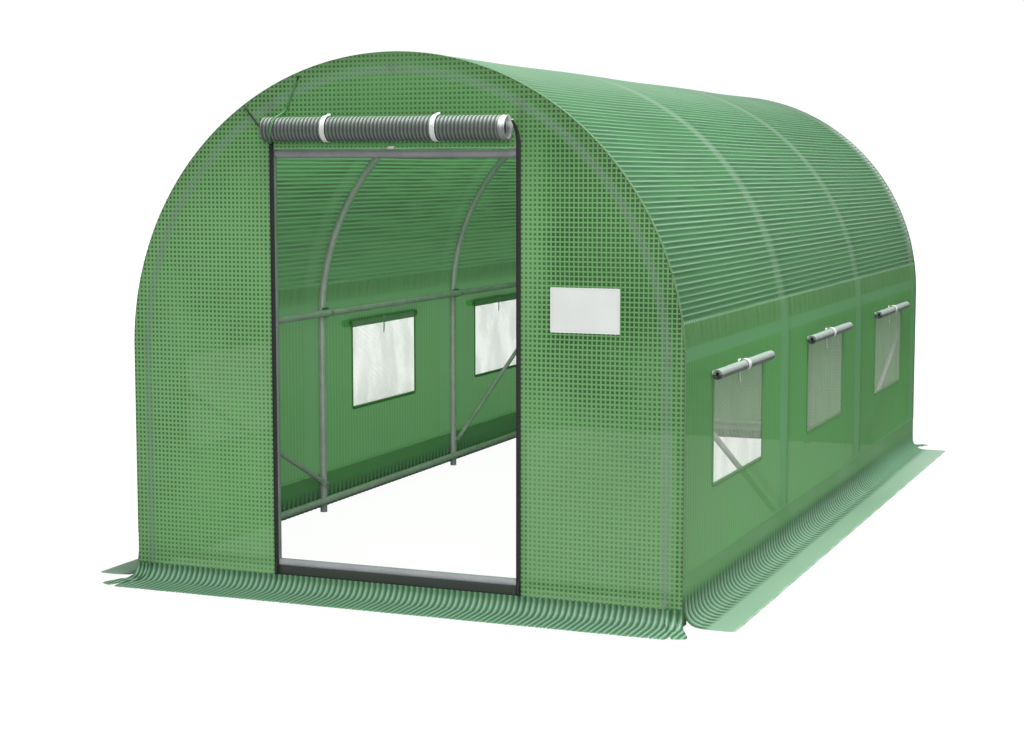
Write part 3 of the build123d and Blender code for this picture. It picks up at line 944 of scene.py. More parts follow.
def copy(piece, name, move=(0.0, 0.0, 0.0), flip=None):
    """A copy with its own mesh, moved, or mirrored across the middle of the tunnel."""
    choose(piece)
    bpy.ops.object.duplicate(linked=False)
    twin = named(name)
    twin.location = move
    if flip:
        twin.scale = (-1, 1, 1) if flip == "X" else (1, -1, 1)
    settle(twin)
    if flip:
        edit(twin)
        everything()
        bpy.ops.mesh.flip_normals()
        clear()
    return twin


def tidy(piece, outwards=None, within=0.00005):
    """Merges doubles, and turns an open sheet's faces to the side that is its outside."""
    edit(piece)
    everything()
    bpy.ops.mesh.remove_doubles(threshold=within)
    everything()
    bpy.ops.mesh.normals_make_consistent(inside=False)
    if outwards is not None:
        clear()
        total = sum(outwards(face.center).dot(face.normal) * face.area for face in piece.data.polygons)
        if total < 0:
            edit(piece)
            everything()
            bpy.ops.mesh.flip_normals()
    choose(piece)
    bpy.ops.object.shade_smooth()


def modify(piece, kind, **settings):
    """Adds a modifier and applies it."""
    choose(piece)
    added = piece.modifiers.new(kind, kind)
    for name, value in settings.items():
        setattr(added, name, value)
    bpy.ops.object.modifier_apply(modifier=added.name)


def thicken(piece, thickness, offset):
    """Gives a sheet its thickness, and merges the corners that meet."""
    modify(piece, "SOLIDIFY", thickness=thickness, offset=offset)
    tidy(piece, within=0.00001)


def ripple(piece, name, size, strength, free):
    """Soft uneven waves outwards, as strong as free says at each corner."""
    group = piece.vertex_groups.new(name="free")
    for corner in piece.data.vertices:
        group.add([corner.index], free(corner.co), "REPLACE")
    clouds = bpy.data.textures.new(name, "CLOUDS")
    clouds.noise_scale = size
    modify(
        piece, "DISPLACE", texture=clouds, texture_coords="OBJECT", texture_coords_object=None,
        strength=strength, mid_level=0.0, vertex_group="free",
    )


def block(place, size):
    """A box at its place, opened for editing."""
    clear()
    bpy.ops.mesh.primitive_cube_add(size=1.0, location=place)
    piece = bpy.context.object
    piece.scale = size
    settle(piece)
    edit(piece)
    return piece


def rounded_panel(name, width, height, corner, x, y, z):
    """An upright panel across X with rounded corners."""
    clear()
    bpy.ops.mesh.primitive_plane_add(size=1.0, location=(x, y, z), rotation=(0.0, math.pi / 2, 0.0))
    piece = named(name)
    piece.scale = (height, width, 1.0)
    settle(piece)
    edit(piece)
    everything()
    bpy.ops.mesh.bevel(offset=corner, segments=4, affect="VERTICES")
    return piece


def both_sides(piece, name):
    """The piece on the right, and its mirror on the left under the given name."""
    return (piece, "right"), (copy(piece, name, flip="X"), "left")


def settle_piece(piece, material, slot, *nodes):
    """Gives a finished piece its material and its body, and hides the CAD nodes that it stands for."""
    clear()
    if material is not None:
        piece.data.materials.clear()
        piece.data.materials.append(material)
    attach(piece, BODY)
    if nodes:
        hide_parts(*nodes)


def from_arch(point):
    """Outwards from the middle of the arch."""
    return Vector((point[0], 0.0, point[2] - SPRING))


def away_from_middle(point):
    """Outwards from the middle of the plan."""
    return Vector((point[0], point[1], 0.0))


def from_roll(point):
    """Outwards from the middle of the rolled door."""
    return Vector((0.0, point[1] - ROLL_Y, point[2] - ROLL_Z))


def out_and_up(point):
    """Out from the right wall and up."""
    return Vector((1.0, 0.0, 1.0))


def to_front(point):
    """Out from the front wall."""
    return Vector((0.0, -1.0, 0.0))


def share_of(reach, over):
    """0 up to no reach, 1 from a reach of this much on, and straight between."""
    return min(1.0, max(0.0, reach / over))


# The pieces


class TUNNEL_OT_stage(bpy.types.Operator):
    """Lays the floor and sets the lights and the camera"""

    bl_idname = "tunnel.stage"
    bl_label = "Floor, lights and camera"

    def execute(self, context):
        stage = context.scene.tunnel_stage
        clear()
        bpy.ops.mesh.primitive_plane_add(size=60.0, location=(0.0, 0.0, -0.0005))
        floor = named("floor")
        settle(floor)
        finish = Finish("floor")
        tone = finish.blend(finish.cloud(3.0), stage.floor_colour, shaded(stage.floor_colour, 0.97))
        plain = finish.node("ShaderNodeBsdfDiffuse", {}, {"Color": tone})
        white = finish.node(
            "ShaderNodeEmission", {}, {"Color": WHITE, "Strength": PLAIN_WHITE_STRENGTH}
        )
        path = finish.node("ShaderNodeLightPath", {}, {}, "Is Camera Ray")
        seen = finish.sum("MAXIMUM", path, path.output("Is Transmission Ray"))
        x, y, z = finish.place()
        away = finish.sum("SQRT", x * x + y * y)
        share = finish.between(away, FLOOR_FADE_START, FLOOR_FADE_END, FLOOR_WHITENESS, 1.0)
        finish.end(finish.node("ShaderNodeMixShader", {}, {0: seen * share, 1: plain, 2: white}))
        floor.data.materials.append(finish.material)

        world = bpy.data.worlds.new("studio")
        context.scene.world = world
        world.use_nodes = True
        nodes, links = world.node_tree.nodes, world.node_tree.links
        path = nodes.new("ShaderNodeLightPath")
        backdrop = nodes.new("ShaderNodeBackground")
        backdrop.inputs["Strength"].default_value = PLAIN_WHITE_STRENGTH
        sky = nodes["Background"]
        sky.inputs["Color"].default_value = WHITE
        sky.inputs["Strength"].default_value = stage.sky
        mix = nodes.new("ShaderNodeMixShader")
        links.new(path.outputs["Is Camera Ray"], mix.inputs[0])
        links.new(sky.outputs[0], mix.inputs[1])
        links.new(backdrop.outputs[0], mix.inputs[2])
        links.new(mix.outputs[0], nodes["World Output"].inputs["Surface"])

        for name, place, aim, size, power in (
            ("key_light", (1.8, -1.6, 7.5), (0.0, 0.2, 0.8), 4.5, stage.key),
            ("fill_light", (2.6, -9.0, 2.8), (0.0, -1.5, 0.9), 3.5, stage.fill),
        ):
            clear()
            bpy.ops.object.light_add(type="AREA", location=place)
            lamp = context.object
            lamp.name = name
            lamp.data.size = size
            lamp.data.energy = power
            lamp.rotation_euler = (Vector(aim) - Vector(place)).to_track_quat("-Z", "Y").to_euler()

        clear()
        bpy.ops.object.camera_add(location=stage.eye, rotation=stage.turn)
        camera = context.object
        camera.name = "camera"
        camera.data.lens = stage.lens
        camera.data.sensor_width = 36.0
        camera.data.clip_end = 200.0
        context.scene.camera = camera
        context.scene.view_settings.view_transform = "Standard"
        return {"FINISHED"}


class TUNNEL_OT_frame(bpy.types.Operator):
    """Gives the steel frame, its saddles and the name panel their finishes"""

    bl_idname = "tunnel.frame"
    bl_label = "Steel frame"

    def execute(self, context):
        colours = context.scene.tunnel_frame
        steel = steel_finish("coated_steel", colours.steel_colour)
        inner = steel_finish("inner_steel", colours.inner_colour)
        sill = steel_finish("sill_steel", shaded(colours.steel_colour, 1.6))
        plastic = plastic_finish()
        panel = panel_finish()
        for name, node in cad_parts.items():
            material = inner
            if "saddles" in name:
                material = plastic
            elif name == "name_panel":
                material = panel
            elif name == "front_base_rail":
                material = sill
            elif name.startswith("door_") or "door_post" in name:
                material = steel
            node.data.materials.clear()
            node.data.materials.append(material)
        return {"FINISHED"}


class TUNNEL_OT_roof(bpy.types.Operator):
    """Draws the roof film over the hoops, with a rib along every strand"""

    bl_idname = "tunnel.roof"
    bl_label = "Roof film"

    def execute(self, context):
        film = context.scene.tunnel_film
        spread = math.pi - 2 * SEAM_ANGLE
        rows = film.roof_ribs * ROWS_A_RIB
        outwards = Vector((math.cos(SEAM_ANGLE), 0.0, math.sin(SEAM_ANGLE)))
        start = (FILM_RADIUS * outwards.x, 0.0, SPRING + FILM_RADIUS * outwards.z)
        piece = start_line("roof_film", "Y", 2 * HALF_LENGTH, start, (ROOF_COLUMNS - 1,))
        for column in range(ROOF_COLUMNS + 1):
            place = -HALF_LENGTH + 2 * HALF_LENGTH * column / ROOF_COLUMNS
            share = math.sin(math.pi * max(0.0, min(3.0, (place - HOOPS[0]) / BAY))) ** 2
            if share > 0.001:
                pick(piece, lambda c: abs(c.y - place) < 0.001)
                shift(*(outwards * -film.sag * share))
        everything()
        turn_round(ARCH, (0, -1, 0), spread, rows)
        tidy(piece, from_arch)
        edit(piece)

        def row_of(corner):
            return round((math.atan2(corner.z - SPRING, corner.x) - SEAM_ANGLE) / spread * rows)

        for low, high, keep in ROOF_RIB_SHARES:
            for phase, share in ((0, 1.0), (ROWS_A_RIB - 1, 0.25)):
                pick(
                    piece,
                    lambda c: row_of(c) % ROWS_A_RIB == phase
                    and 0 < row_of(c) < rows
                    and low <= (c.z - SPRING) / FILM_RADIUS < high,
                )
                puff(film.roof_rib_rise * share * keep)
        tidy(piece, from_arch)
        settle_piece(piece, roof_finish(), "roof_film", "roof_cover")
        return {"FINISHED"}


class TUNNEL_OT_sides(bpy.types.Operator):
    """Makes the two side films with their window openings"""

    bl_idname = "tunnel.sides"
    bl_label = "Side films"

    def execute(self, context):
        film = context.scene.tunnel_film
        columns = film.side_ribs * 3
        step = 2 * HALF_LENGTH / columns
        cuts = (99, columns // 100 - 1)
        piece = start_line("right_side_film", "Y", 2 * HALF_LENGTH, (FILM_RADIUS, 0.0, STRIP_TOP), cuts)
        heights = [STRIP_TOP, 0.26, 0.35, NETS_LOW[2], 0.54, 0.64, 0.74, NETS_HIGH[2], SPRING]
        for low, high in zip(heights[:-1], heights[1:]):
            draw_out(z=high - low)
        turn_round(ARCH, (0, -1, 0), SEAM_ANGLE, 4)
        pick_faces(
            piece,
            lambda c, n: NETS_LOW[2] < c.z < NETS_HIGH[2]
            and any(abs(c.y - middle) < WINDOW_WIDTH / 2 for middle in WINDOWS),
        )
        bpy.ops.mesh.delete(type="FACE")
        tidy(piece, from_arch)
        edit(piece)
        pick(piece, lambda c: round((c.y + HALF_LENGTH) / step) % 3 == 0)
        puff(film.side_rib_rise)
        tidy(piece, from_arch)
        material = side_finish()
        for each, side in both_sides(piece, "left_side_film"):
            side + "_legs"
            side + "_side_rail"
            settle_piece(each, material, "wall_film", side + "_side_wall")
        return {"FINISHED"}


def end_sheet(name, place, *cuts):
    """A flat film that closes the tunnel's end, from the fold up to the arch, with parts cut off."""
    clear()
    bpy.ops.mesh.primitive_circle_add(
        vertices=144, radius=FILM_RADIUS, fill_type="NGON",
        location=(0.0, place, SPRING), rotation=(math.pi / 2, 0, 0),
    )
    piece = named(name)
    settle(piece)
    edit(piece)
    cut_off(ARCH, (0, 0, 1), "inner")
    pick(piece, lambda c: abs(c.z - SPRING) < 0.0005)
    draw_out(z=FOLD - SPRING)
    for cut in cuts:
        cut_off(*cut)
    cut_across(piece, "X", [END_GRID * n for n in range(-21, 22)])
    cut_across(piece, "Z", [END_GRID * n for n in range(2, 39)])
    tidy(piece, away_from_middle)
    return piece


def under_arch(point):
    """How far a point on an end film lies from the arch."""
    return HALF_WIDTH - math.hypot(point.x, max(0.0, point.z - SPRING))


def front_is_free(point):
    """How freely the front film may wave here, away from the arch, the door and the panel."""
    if PANEL_LOW[0] < point.x + 0.05 and point.x - 0.05 < PANEL_HIGH[0]:
        if PANEL_LOW[2] < point.z + 0.05 and point.z - 0.05 < PANEL_HIGH[2]:
            return 0.0
    clear_of_door = share_of(abs(point.x) - DOOR_HALF, 0.07)
    if point.z > DOOR_FILM_EDGE + 0.12:
        clear_of_door = share_of(point.z - DOOR_FILM_EDGE - 0.12, 0.08)
    return share_of(under_arch(point), 0.08) * clear_of_door


class TUNNEL_OT_ends(bpy.types.Operator):
    """Makes the front films round the door and the rear film"""

    bl_idname = "tunnel.ends"
    bl_label = "End films"

    def execute(self, context):
        material = end_finish()
        front = -HALF_LENGTH + FILM_INSET
        for side, sign in (("right", 1), ("left", -1)):
            door_edge = ((sign * DOOR_HALF, 0, 0), (sign, 0, 0), "inner")
            piece = end_sheet("front_film_" + side, front, door_edge)
            ripple(piece, "front_waves_" + side, 0.35, 0.007, front_is_free)
            settle_piece(piece, material, "wall_film", "front_wall_" + side)

        piece = end_sheet(
            "front_film_over_door", front,
            ((DOOR_HALF, 0, 0), (1, 0, 0)),
            ((-DOOR_HALF, 0, 0), (1, 0, 0), "inner"),
            ((0, 0, DOOR_FILM_EDGE), (0, 0, 1), "inner"),
        )
        settle_piece(piece, material, "wall_film", "front_wall_over_door")

        piece = end_sheet("rear_film", HALF_LENGTH - FILM_INSET)
        ripple(piece, "rear_waves", 0.45, 0.008, lambda c: share_of(under_arch(c), 0.1))
        settle_piece(piece, material, "wall_film", "rear_wall")
        return {"FINISHED"}


def skirt(name, length, strip_top, ribs, cuts, fading, ribbed):
    """A skirt along the right side: a strip on the wall, a round flare and a flat edge."""
    film = bpy.context.scene.tunnel_film
    wall = FILM_RADIUS
    edge = wall + SKIRT_EDGE - HALF_WIDTH
    flare = FOLD - 0.001
    foot = wall + flare
    step = length / (ribs * 4)
    piece = start_line(name, "Y", length, (wall, 0.0, strip_top), cuts)
    low = strip_top
    for height in (0.140, 0.105, 0.080, FOLD) if strip_top > FOLD else ():
        draw_out(z=height - low)
        low = height
    turn_round((foot, 0.0, FOLD), (0, -1, 0), math.pi / 2, 7)
    flat_cuts = [foot, foot + 0.018, foot + 0.040, foot + 0.075, edge]
    for near, far in zip(flat_cuts[:-1], flat_cuts[1:]):
        draw_out(x=far - near)
    tidy(piece, out_and_up)
    edit(piece)

    def down(corner):
        """How far down the skirt's section a corner lies, in half millimetres."""
        if corner.x < wall + 0.0005:
            reach = strip_top - corner.z
        elif corner.x > foot:
            reach = strip_top - FOLD + flare * math.pi / 2 + corner.x - foot
        else:
            reach = strip_top - FOLD + flare * math.atan2(FOLD - corner.z, foot - corner.x)
        return reach * 2000

    def column_of(corner):
        return round((corner.y + length / 2) / step) % 4

    rows = []
    for spot in sorted({round(down(c.co)) for c in bmesh.from_edit_mesh(piece.data).verts}):
        if not rows or spot - rows[-1] > 3:
            rows.append(spot)
    knee = (strip_top - FOLD + flare * math.pi / 4) * 2000
    above, below = [reach * 2000 for reach in ribbed]
    for spot in rows:
        near = min(1.0, (spot - knee + above) / 80.0, (knee + below - spot) / 80.0)
        rise = film.skirt_rib_rise * (1.0 if spot < knee + 90 else 0.55) * near
        if rise < 0.0002:
            continue
        for low, high, keep in fading:
            for phase, share in ((0, 1.0), (2, -0.25)):
                if phase == 0 or spot <= knee + 50:
                    pick(
                        piece,
                        lambda c: low <= c.y < high
                        and abs(down(c) - spot) <= 3
                        and column_of(c) == phase,
                    )
                    puff(rise * share * keep)
    for column in range(4):
        along = column * step
        inward = 0.0
        if along < SKIRT_CORNER:
            inward = SKIRT_CORNER - math.sqrt(SKIRT_CORNER**2 - (SKIRT_CORNER - along) ** 2)
        pick(piece, lambda c: c.x > edge - 0.001 and abs(abs(c.y) - (length / 2 - along)) < step * 0.3)
        shift(x=-inward)
    tidy(piece, out_and_up)
    return piece


def quarter_turn(piece, sign):
    """Turns a side skirt to the front or the rear."""
    piece.rotation_euler = (0.0, 0.0, sign * math.pi / 2)
    piece.location = (0.0, sign * (HALF_LENGTH - HALF_WIDTH), 0.0)
    settle(piece)


class TUNNEL_OT_skirts(bpy.types.Operator):
    """Lays out the four skirts on the ground"""

    bl_idname = "tunnel.skirts"
    bl_label = "Skirts"

    def execute(self, context):
        film = context.scene.tunnel_film
        sides = skirt_finish("y")
        ribs = film.skirt_ribs
        fading = [(-3.0, 0.7, 1.0), (0.7, 1.1, 0.75), (1.1, 1.5, 0.45), (1.5, 3.0, 0.18)]
        cuts = (47, ribs * 4 // 48 - 1)
        piece = skirt("right_skirt_film", 2 * HALF_LENGTH, STRIP_TOP, ribs, cuts, fading, (0.090, 0.075))
        for each, side in both_sides(piece, "left_skirt_film"):
            side + "_base_rail"
            settle_piece(each, sides, "skirt_film", side + "_skirt")

        ends = skirt_finish("x")
        ribs = film.end_skirt_ribs
        cuts = (31, ribs * 4 // 32 - 1)
        fading = [(-2.0, 2.0, 0.75)]
        piece = skirt("front_skirt_film", 2 * END_SKIRT_HALF, FOLD, ribs, cuts, fading, (0.085, 0.190))
        twin = copy(piece, "rear_skirt_film")
        quarter_turn(piece, -1)
        quarter_turn(twin, 1)
        for each, end in ((piece, "front"), (twin, "rear")):
            end + "_base_rail"
            settle_piece(each, ends, "skirt_film", end + "_skirt")
        return {"FINISHED"}


class TUNNEL_OT_corners(bpy.types.Operator):
    """Folds and tucks the film at the four corners of the skirts"""

    bl_idname = "tunnel.corners"
    bl_label = "Skirt corners"

    def execute(self, context):
        ends = bpy.data.objects["front_skirt_film"].data.materials[0]
        corner = Vector((END_SKIRT_HALF, -HALF_LENGTH, 0.0))
        fold = copy(bpy.data.objects["front_skirt_film"], "fold_0")
        edit(fold)
        cut_off((HALF_WIDTH - CORNER_FOLD, 0, 0), (1, 0, 0), "inner")
        everything()
        widen(y=0.93, center_override=(0.0, -HALF_LENGTH, 0.0))
        clear()
        turn = Matrix.Rotation(CORNER_FOLD_TURN, 3, "Z")
        fold.rotation_euler = (0.0, 0.0, CORNER_FOLD_TURN)
        fold.location = corner - turn @ corner + Vector((0.0, 0.0, 0.0025))
        settle(fold)
        tidy(fold, lambda point: Vector((0.0, -1.0, 1.0)))
        folds = join([fold, copy(fold, "fold_1", flip="X")], "front_corner_folds")
        settle_piece(copy(folds, "rear_corner_folds", flip="Y"), ends, "skirt_film")
        settle_piece(folds, ends, "skirt_film")

        start = (HALF_WIDTH - 0.0002, -HALF_LENGTH + CORNER_TUCK, FOLD / 2 + 0.0006)
        tuck = start_line("tuck_0", "Z", FOLD, start, (3,))
        draw_out(y=-CORNER_TUCK + 0.0002)
        draw_out(x=-CORNER_TUCK)
        tidy(tuck, away_from_middle)
        tucks = join([tuck, copy(tuck, "tuck_1", flip="X")], "front_corner_tucks")
        tucked = hem_finish("corner_tuck", 0.50, 0.10)
        settle_piece(copy(tucks, "rear_corner_tucks", flip="Y"), tucked, "skirt_film")
        settle_piece(tucks, tucked, "skirt_film")
        return {"FINISHED"}


class TUNNEL_OT_windows(bpy.types.Operator):
    """Makes the nets in the side windows and the hems round them"""

    bl_idname = "tunnel.windows"
    bl_label = "Window nets"

    def execute(self, context):
        nets, hems = [], []
        for number, y in enumerate(WINDOWS):
            net = rounded_panel(f"net_{number}", WINDOW_WIDTH, NET_HEIGHT, 0.012, NET_X, y, NET_Z)
            cut_across(net, "Y", [y - WINDOW_WIDTH / 2 + 0.05 * n for n in range(1, 14)])
            cut_across(net, "Z", [NET_Z - 0.195 + 0.039 * n for n in range(1, 10)])
            tidy(net, away_from_middle)
            ripple(
                net, f"net_creases_{number}", 0.12, -0.007,
                lambda c: min(
                    share_of(WINDOW_WIDTH / 2 - abs(c.y - y), 0.06),
                    share_of(NET_HEIGHT / 2 - abs(c.z - NET_Z), 0.06),
                ),
            )
            nets.append(net)
            width, height = WINDOW_WIDTH + 0.020, NET_HEIGHT + 0.020
            hem = rounded_panel(f"hem_{number}", width, height, 0.018, HALF_WIDTH + 0.0008, y, NET_Z)
            everything()
            bpy.ops.mesh.inset(thickness=WINDOW_HEM, depth=0.0)
            bpy.ops.mesh.delete(type="FACE")
            everything()
            bpy.ops.mesh.extrude_region_shrink_fatten(TRANSFORM_OT_shrink_fatten={"value": 0.0007})
            tidy(hem)
            hems.append(hem)
        net = join(nets, "right_nets")
        hem = join(hems, "right_window_hems")
        net_material, hem_material = net_finish(), hem_finish("window_hem", 1.0, 0.45)
        for each, side in both_sides(net, "left_nets"):
            side + "_side_film"
            settle_piece(each, net_material, "window_net", side + "_window_nets")
        for each, side in both_sides(hem, "left_window_hems"):
            settle_piece(each, hem_material, "wall_film")
        return {"FINISHED"}


class TUNNEL_OT_rolled_door(bpy.types.Operator):
    """Rolls up the door over the opening"""

    bl_idname = "tunnel.rolled_door"
    bl_label = "Rolled door"

    def execute(self, context):
        door = context.scene.tunnel_door
        radius = ROLL_RADIUS - door.roll_rib_rise
        length = ROLL_HIGH[0] - ROLL_LOW[0]
        middle = (ROLL_LOW[0] + ROLL_HIGH[0]) / 2
        ribs = door.roll_ribs
        step = length / (ribs * 4)
        start = (middle, ROLL_Y + radius, ROLL_Z + 0.030)
        piece = start_line("rolled_door", "X", length, start, (31, ribs * 4 // 32 - 1))
        draw_out(z=-0.015)
        draw_out(z=-0.015)
        roll_up((middle, ROLL_Y, ROLL_Z), (0.0, -0.0024, 0.0), (-1, 0, 0), 10, 12)
        tidy(piece, from_roll)
        edit(piece)
        for phase, rise in ((0, door.roll_rib_rise), (2, -door.roll_rib_rise * 0.6)):
            pick(piece, lambda c: round((c.x - ROLL_LOW[0]) / step) % 4 == phase)
            puff(rise)
        hollow = ROLL_HIGH[0] - 0.060
        pick(piece, lambda c: c.x > hollow and math.hypot(c.y - ROLL_Y, c.z - ROLL_Z) < radius - 0.0055)
        widen(x=0.30, center_override=(hollow, ROLL_Y, ROLL_Z))
        tidy(piece, from_roll)
        thicken(piece, door.sheet, -1.0)
        rolled = roll_finish("x", length / ribs, ROLL_LOW[0], ROLL_Z, radius, ROLL_HIGH[0] - 0.024)
        settle_piece(piece, rolled, "rolled_film", "door_roll")
        return {"FINISHED"}


class TUNNEL_OT_door_straps(bpy.types.Operator):
    """Puts the two white straps round the rolled door and a tab under it"""

    bl_idname = "tunnel.door_straps"
    bl_label = "Door straps"

    def execute(self, context):
        radius = ROLL_RADIUS + 0.0010
        film = -HALF_LENGTH - 0.0016
        straps = []
        for number, x in enumerate((STRAPS_LOW[0] + STRAP_WIDTH / 2, STRAPS_HIGH[0] - STRAP_WIDTH / 2)):
            start = (x, film, ROLL_Z - radius + 0.004)
            strap = start_line(f"strap_{number}", "X", STRAP_WIDTH, start, (5,))
            draw_out(y=-0.020)
            pick(strap, lambda c: c.y < -HALF_LENGTH - 0.015)
            shift(z=-0.003)
            draw_out(y=ROLL_Y + HALF_LENGTH + 0.0216, z=-0.001)
            turn_round((x, ROLL_Y, ROLL_Z), (-1, 0, 0), math.pi, 22)
            draw_out(x=0.001, y=0.008, z=0.002)
            draw_out(x=0.001, y=0.004, z=0.006)
            widen(x=0.5)
            tidy(strap, from_roll)
            modify(strap, "SOLIDIFY", thickness=TAPE, offset=1.0)
            modify(strap, "SUBSURF", levels=1, render_levels=1)
            straps.append(strap)
        tab = start_line("door_tab", "X", TAB_WIDTH, (-0.004, film, DOOR_FILM_EDGE - 0.002), (3,))
        draw_out(x=0.003, y=-0.004, z=0.005)
        draw_out(x=0.005, y=-0.003, z=0.006)
        tidy(tab, to_front)
        modify(tab, "SOLIDIFY", thickness=TAPE, offset=1.0)
        piece = join([*straps, tab], "door_straps")
        tidy(piece, within=0.00001)
        settle_piece(piece, tape_finish(), "white_tape", "door_roll_straps")
        return {"FINISHED"}


class TUNNEL_OT_rolled_windows(bpy.types.Operator):
    """Rolls up the window flaps and ties them"""

    bl_idname = "tunnel.rolled_windows"
    bl_label = "Rolled windows"

    def execute(self, context):
        x = (ROLLS_LOW[0] + ROLLS_HIGH[0]) / 2
        radius = (ROLLS_HIGH[0] - ROLLS_LOW[0]) / 2
        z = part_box("right_window_ties")[1][2] - radius - 0.0015
        first = ROLLS_LOW[1] + WINDOW_ROLL_LENGTH / 2

        def from_window_roll(point):
            return Vector((point[0] - x, 0.0, point[2] - z))

        roll = start_line("roll_0", "Y", WINDOW_FLAP, (x - radius, first, z + 0.012), (76,))
        draw_out(z=-0.012)
        roll_up((x, first, z), (0.0018, 0.0, 0.0), (0, -1, 0), 7, 10)
        creases = bpy.data.textures.new("window_roll_creases", "CLOUDS")
        creases.noise_scale = 0.06
        tidy(roll, from_window_roll)
        modify(roll, "DISPLACE", texture=creases, texture_coords="OBJECT", strength=0.0012, mid_level=0.8)
        thicken(roll, 0.0016, -1.0)

        tie = start_line("tie_0", "Y", TIE_WIDTH, (x - radius - 0.0010, first, z + 0.020), (4,))
        draw_out(z=-0.020)
        turn_round((x, first, z), (0, -1, 0), math.pi * 2 * 0.93, 26)
        tidy(tie, from_window_roll)
        modify(tie, "SOLIDIFY", thickness=0.0012, offset=1.0)
        tail = start_line("tail_0", "Y", TAIL_WIDTH, (HALF_WIDTH + 0.0012, first, z - 0.010), (2,))
        draw_out(x=0.001, z=-0.022)
        draw_out(x=0.001, y=0.001, z=-0.022)
        draw_out(x=0.002, y=0.002, z=-0.018)
        widen(y=0.6)
        tidy(tail, away_from_middle)
        modify(tail, "SOLIDIFY", thickness=0.0010, offset=1.0)
        tie = join([tie, tail], "tie_0")

        rolls = [roll] + [copy(roll, f"roll_{n}", (0.0, BAY * n, 0.0)) for n in (1, 2)]
        ties = [tie] + [copy(tie, f"tie_{n}", (0.0, BAY * n, 0.0)) for n in (1, 2)]
        roll = join(rolls, "right_rolled_windows")
        tie = join(ties, "right_window_straps")
        rolled = roll_finish("y", 0.100, 0.0, z, radius)
        for each, side in both_sides(roll, "left_rolled_windows"):
            side + "_window_straps"
            settle_piece(each, rolled, "rolled_film", side + "_window_rolls")
        tape = tape_finish()
        for each, side in both_sides(tie, "left_window_straps"):
            settle_piece(each, tape, "white_tape", side + "_window_ties")
        return {"FINISHED"}


def zip_strip(name, x, low, high):
    """An upright zip tape with a raised chain bed."""
    strip = start_line(name, "X", ZIP_WIDTH, (x, -HALF_LENGTH - 0.0004, low), (7,))
    for _ in range(24):
        draw_out(z=(high - low) / 24)
    for half_bed, rise in ((0.003, 0.0010), (0.0004, 0.0004)):
        pick(strip, lambda c: abs(c.x - x) < half_bed)
        shift(y=-rise)
    return strip


def zip_teeth(x, low, high):
    """The row of teeth on a zip, modelled once and repeated."""
    tooth = block((x, -HALF_LENGTH - 0.0030, low), (0.0052, 0.0016, 0.0026))
    pick(tooth, lambda c: c.y < -HALF_LENGTH - 0.0030)
    widen(x=0.7, z=0.6)
    modify(
        tooth, "ARRAY", count=int((high - low) / TOOTH_PITCH), use_relative_offset=False,
        use_constant_offset=True, constant_offset_displace=(0.0, 0.0, TOOTH_PITCH),
    )
    return tooth


def zip_slider(x, z):
    """A slider with a sunk face, and its pull."""
    slider = block((x, -HALF_LENGTH - 0.0040, z), (0.010, 0.0040, 0.016))
    pick(slider, lambda c: c.z > z)
    widen(x=0.7)
    pick_faces(slider, lambda c, n: n.y < -0.9)
    bpy.ops.mesh.inset(thickness=0.0018)
    draw_out(y=-0.0016)
    modify(slider, "BEVEL", width=0.0008, segments=2)
    pull = block((x, -HALF_LENGTH - 0.0070, z - 0.020), (0.0060, 0.0014, 0.030))
    pick_faces(pull, lambda c, n: n.y < -0.9)
    bpy.ops.mesh.inset(thickness=0.0015)
    draw_out(y=0.0005)
    modify(pull, "BEVEL", width=0.0005, segments=2)
    return [slider, pull]


class TUNNEL_OT_zips(bpy.types.Operator):
    """Makes the zips beside the door and the hem under it"""

    bl_idname = "tunnel.zips"
    bl_label = "Door zips"

    def execute(self, context):
        tape, teeth_material = zip_finish(), teeth_finish()
        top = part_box("left_door_zip")[1][2]
        for side, sign in (("right", 1), ("left", -1)):
            low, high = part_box(side + "_door_zip")
            x = sign * (DOOR_HALF + ZIP_WIDTH / 2)
            strip = zip_strip("zip_tape_" + side, x, low[2], top)
            if side == "right":
                rest = high[2] - top
                pick(strip, lambda c: c.z > top - 0.001)
                for inwards, forwards, share, keep in (
                    (0.004, 0.004, 0.30, 0.80), (0.004, 0.014, 0.25, 0.75), (0.003, 0.016, 0.15, 0.75)
                ):
                    draw_out(x=-inwards, y=-forwards, z=rest * share)
                    widen(x=keep)
            tidy(strip, away_from_middle)
            thicken(strip, 0.0008, 1.0)
            settle_piece(strip, tape, "black_zip", side + "_door_zip")
            parts = [zip_teeth(x, low[2] + 0.030, top - 0.030), *zip_slider(x, low[2] + 0.040)]
            settle_piece(join(parts, "zip_teeth_" + side), teeth_material, "black_zip")

        low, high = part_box("door_sill_hem")
        hem = start_line("sill_hem", "X", high[0] - low[0], (0.0, -HALF_LENGTH - 0.0003, low[2]), (63,))
        for _ in range(4):
            draw_out(z=(high[2] - low[2]) / 4)
        draw_out(z=0.009)
        pick(hem, lambda c: low[2] + 0.004 < c.z < high[2] - 0.004)
        shift(y=-0.0012)
        tidy(hem, to_front)
        thicken(hem, 0.0012, -1.0)
        settle_piece(hem, zip_finish("sill_tape", 2.2), "black_zip", "door_sill_hem")
        return {"FINISHED"}


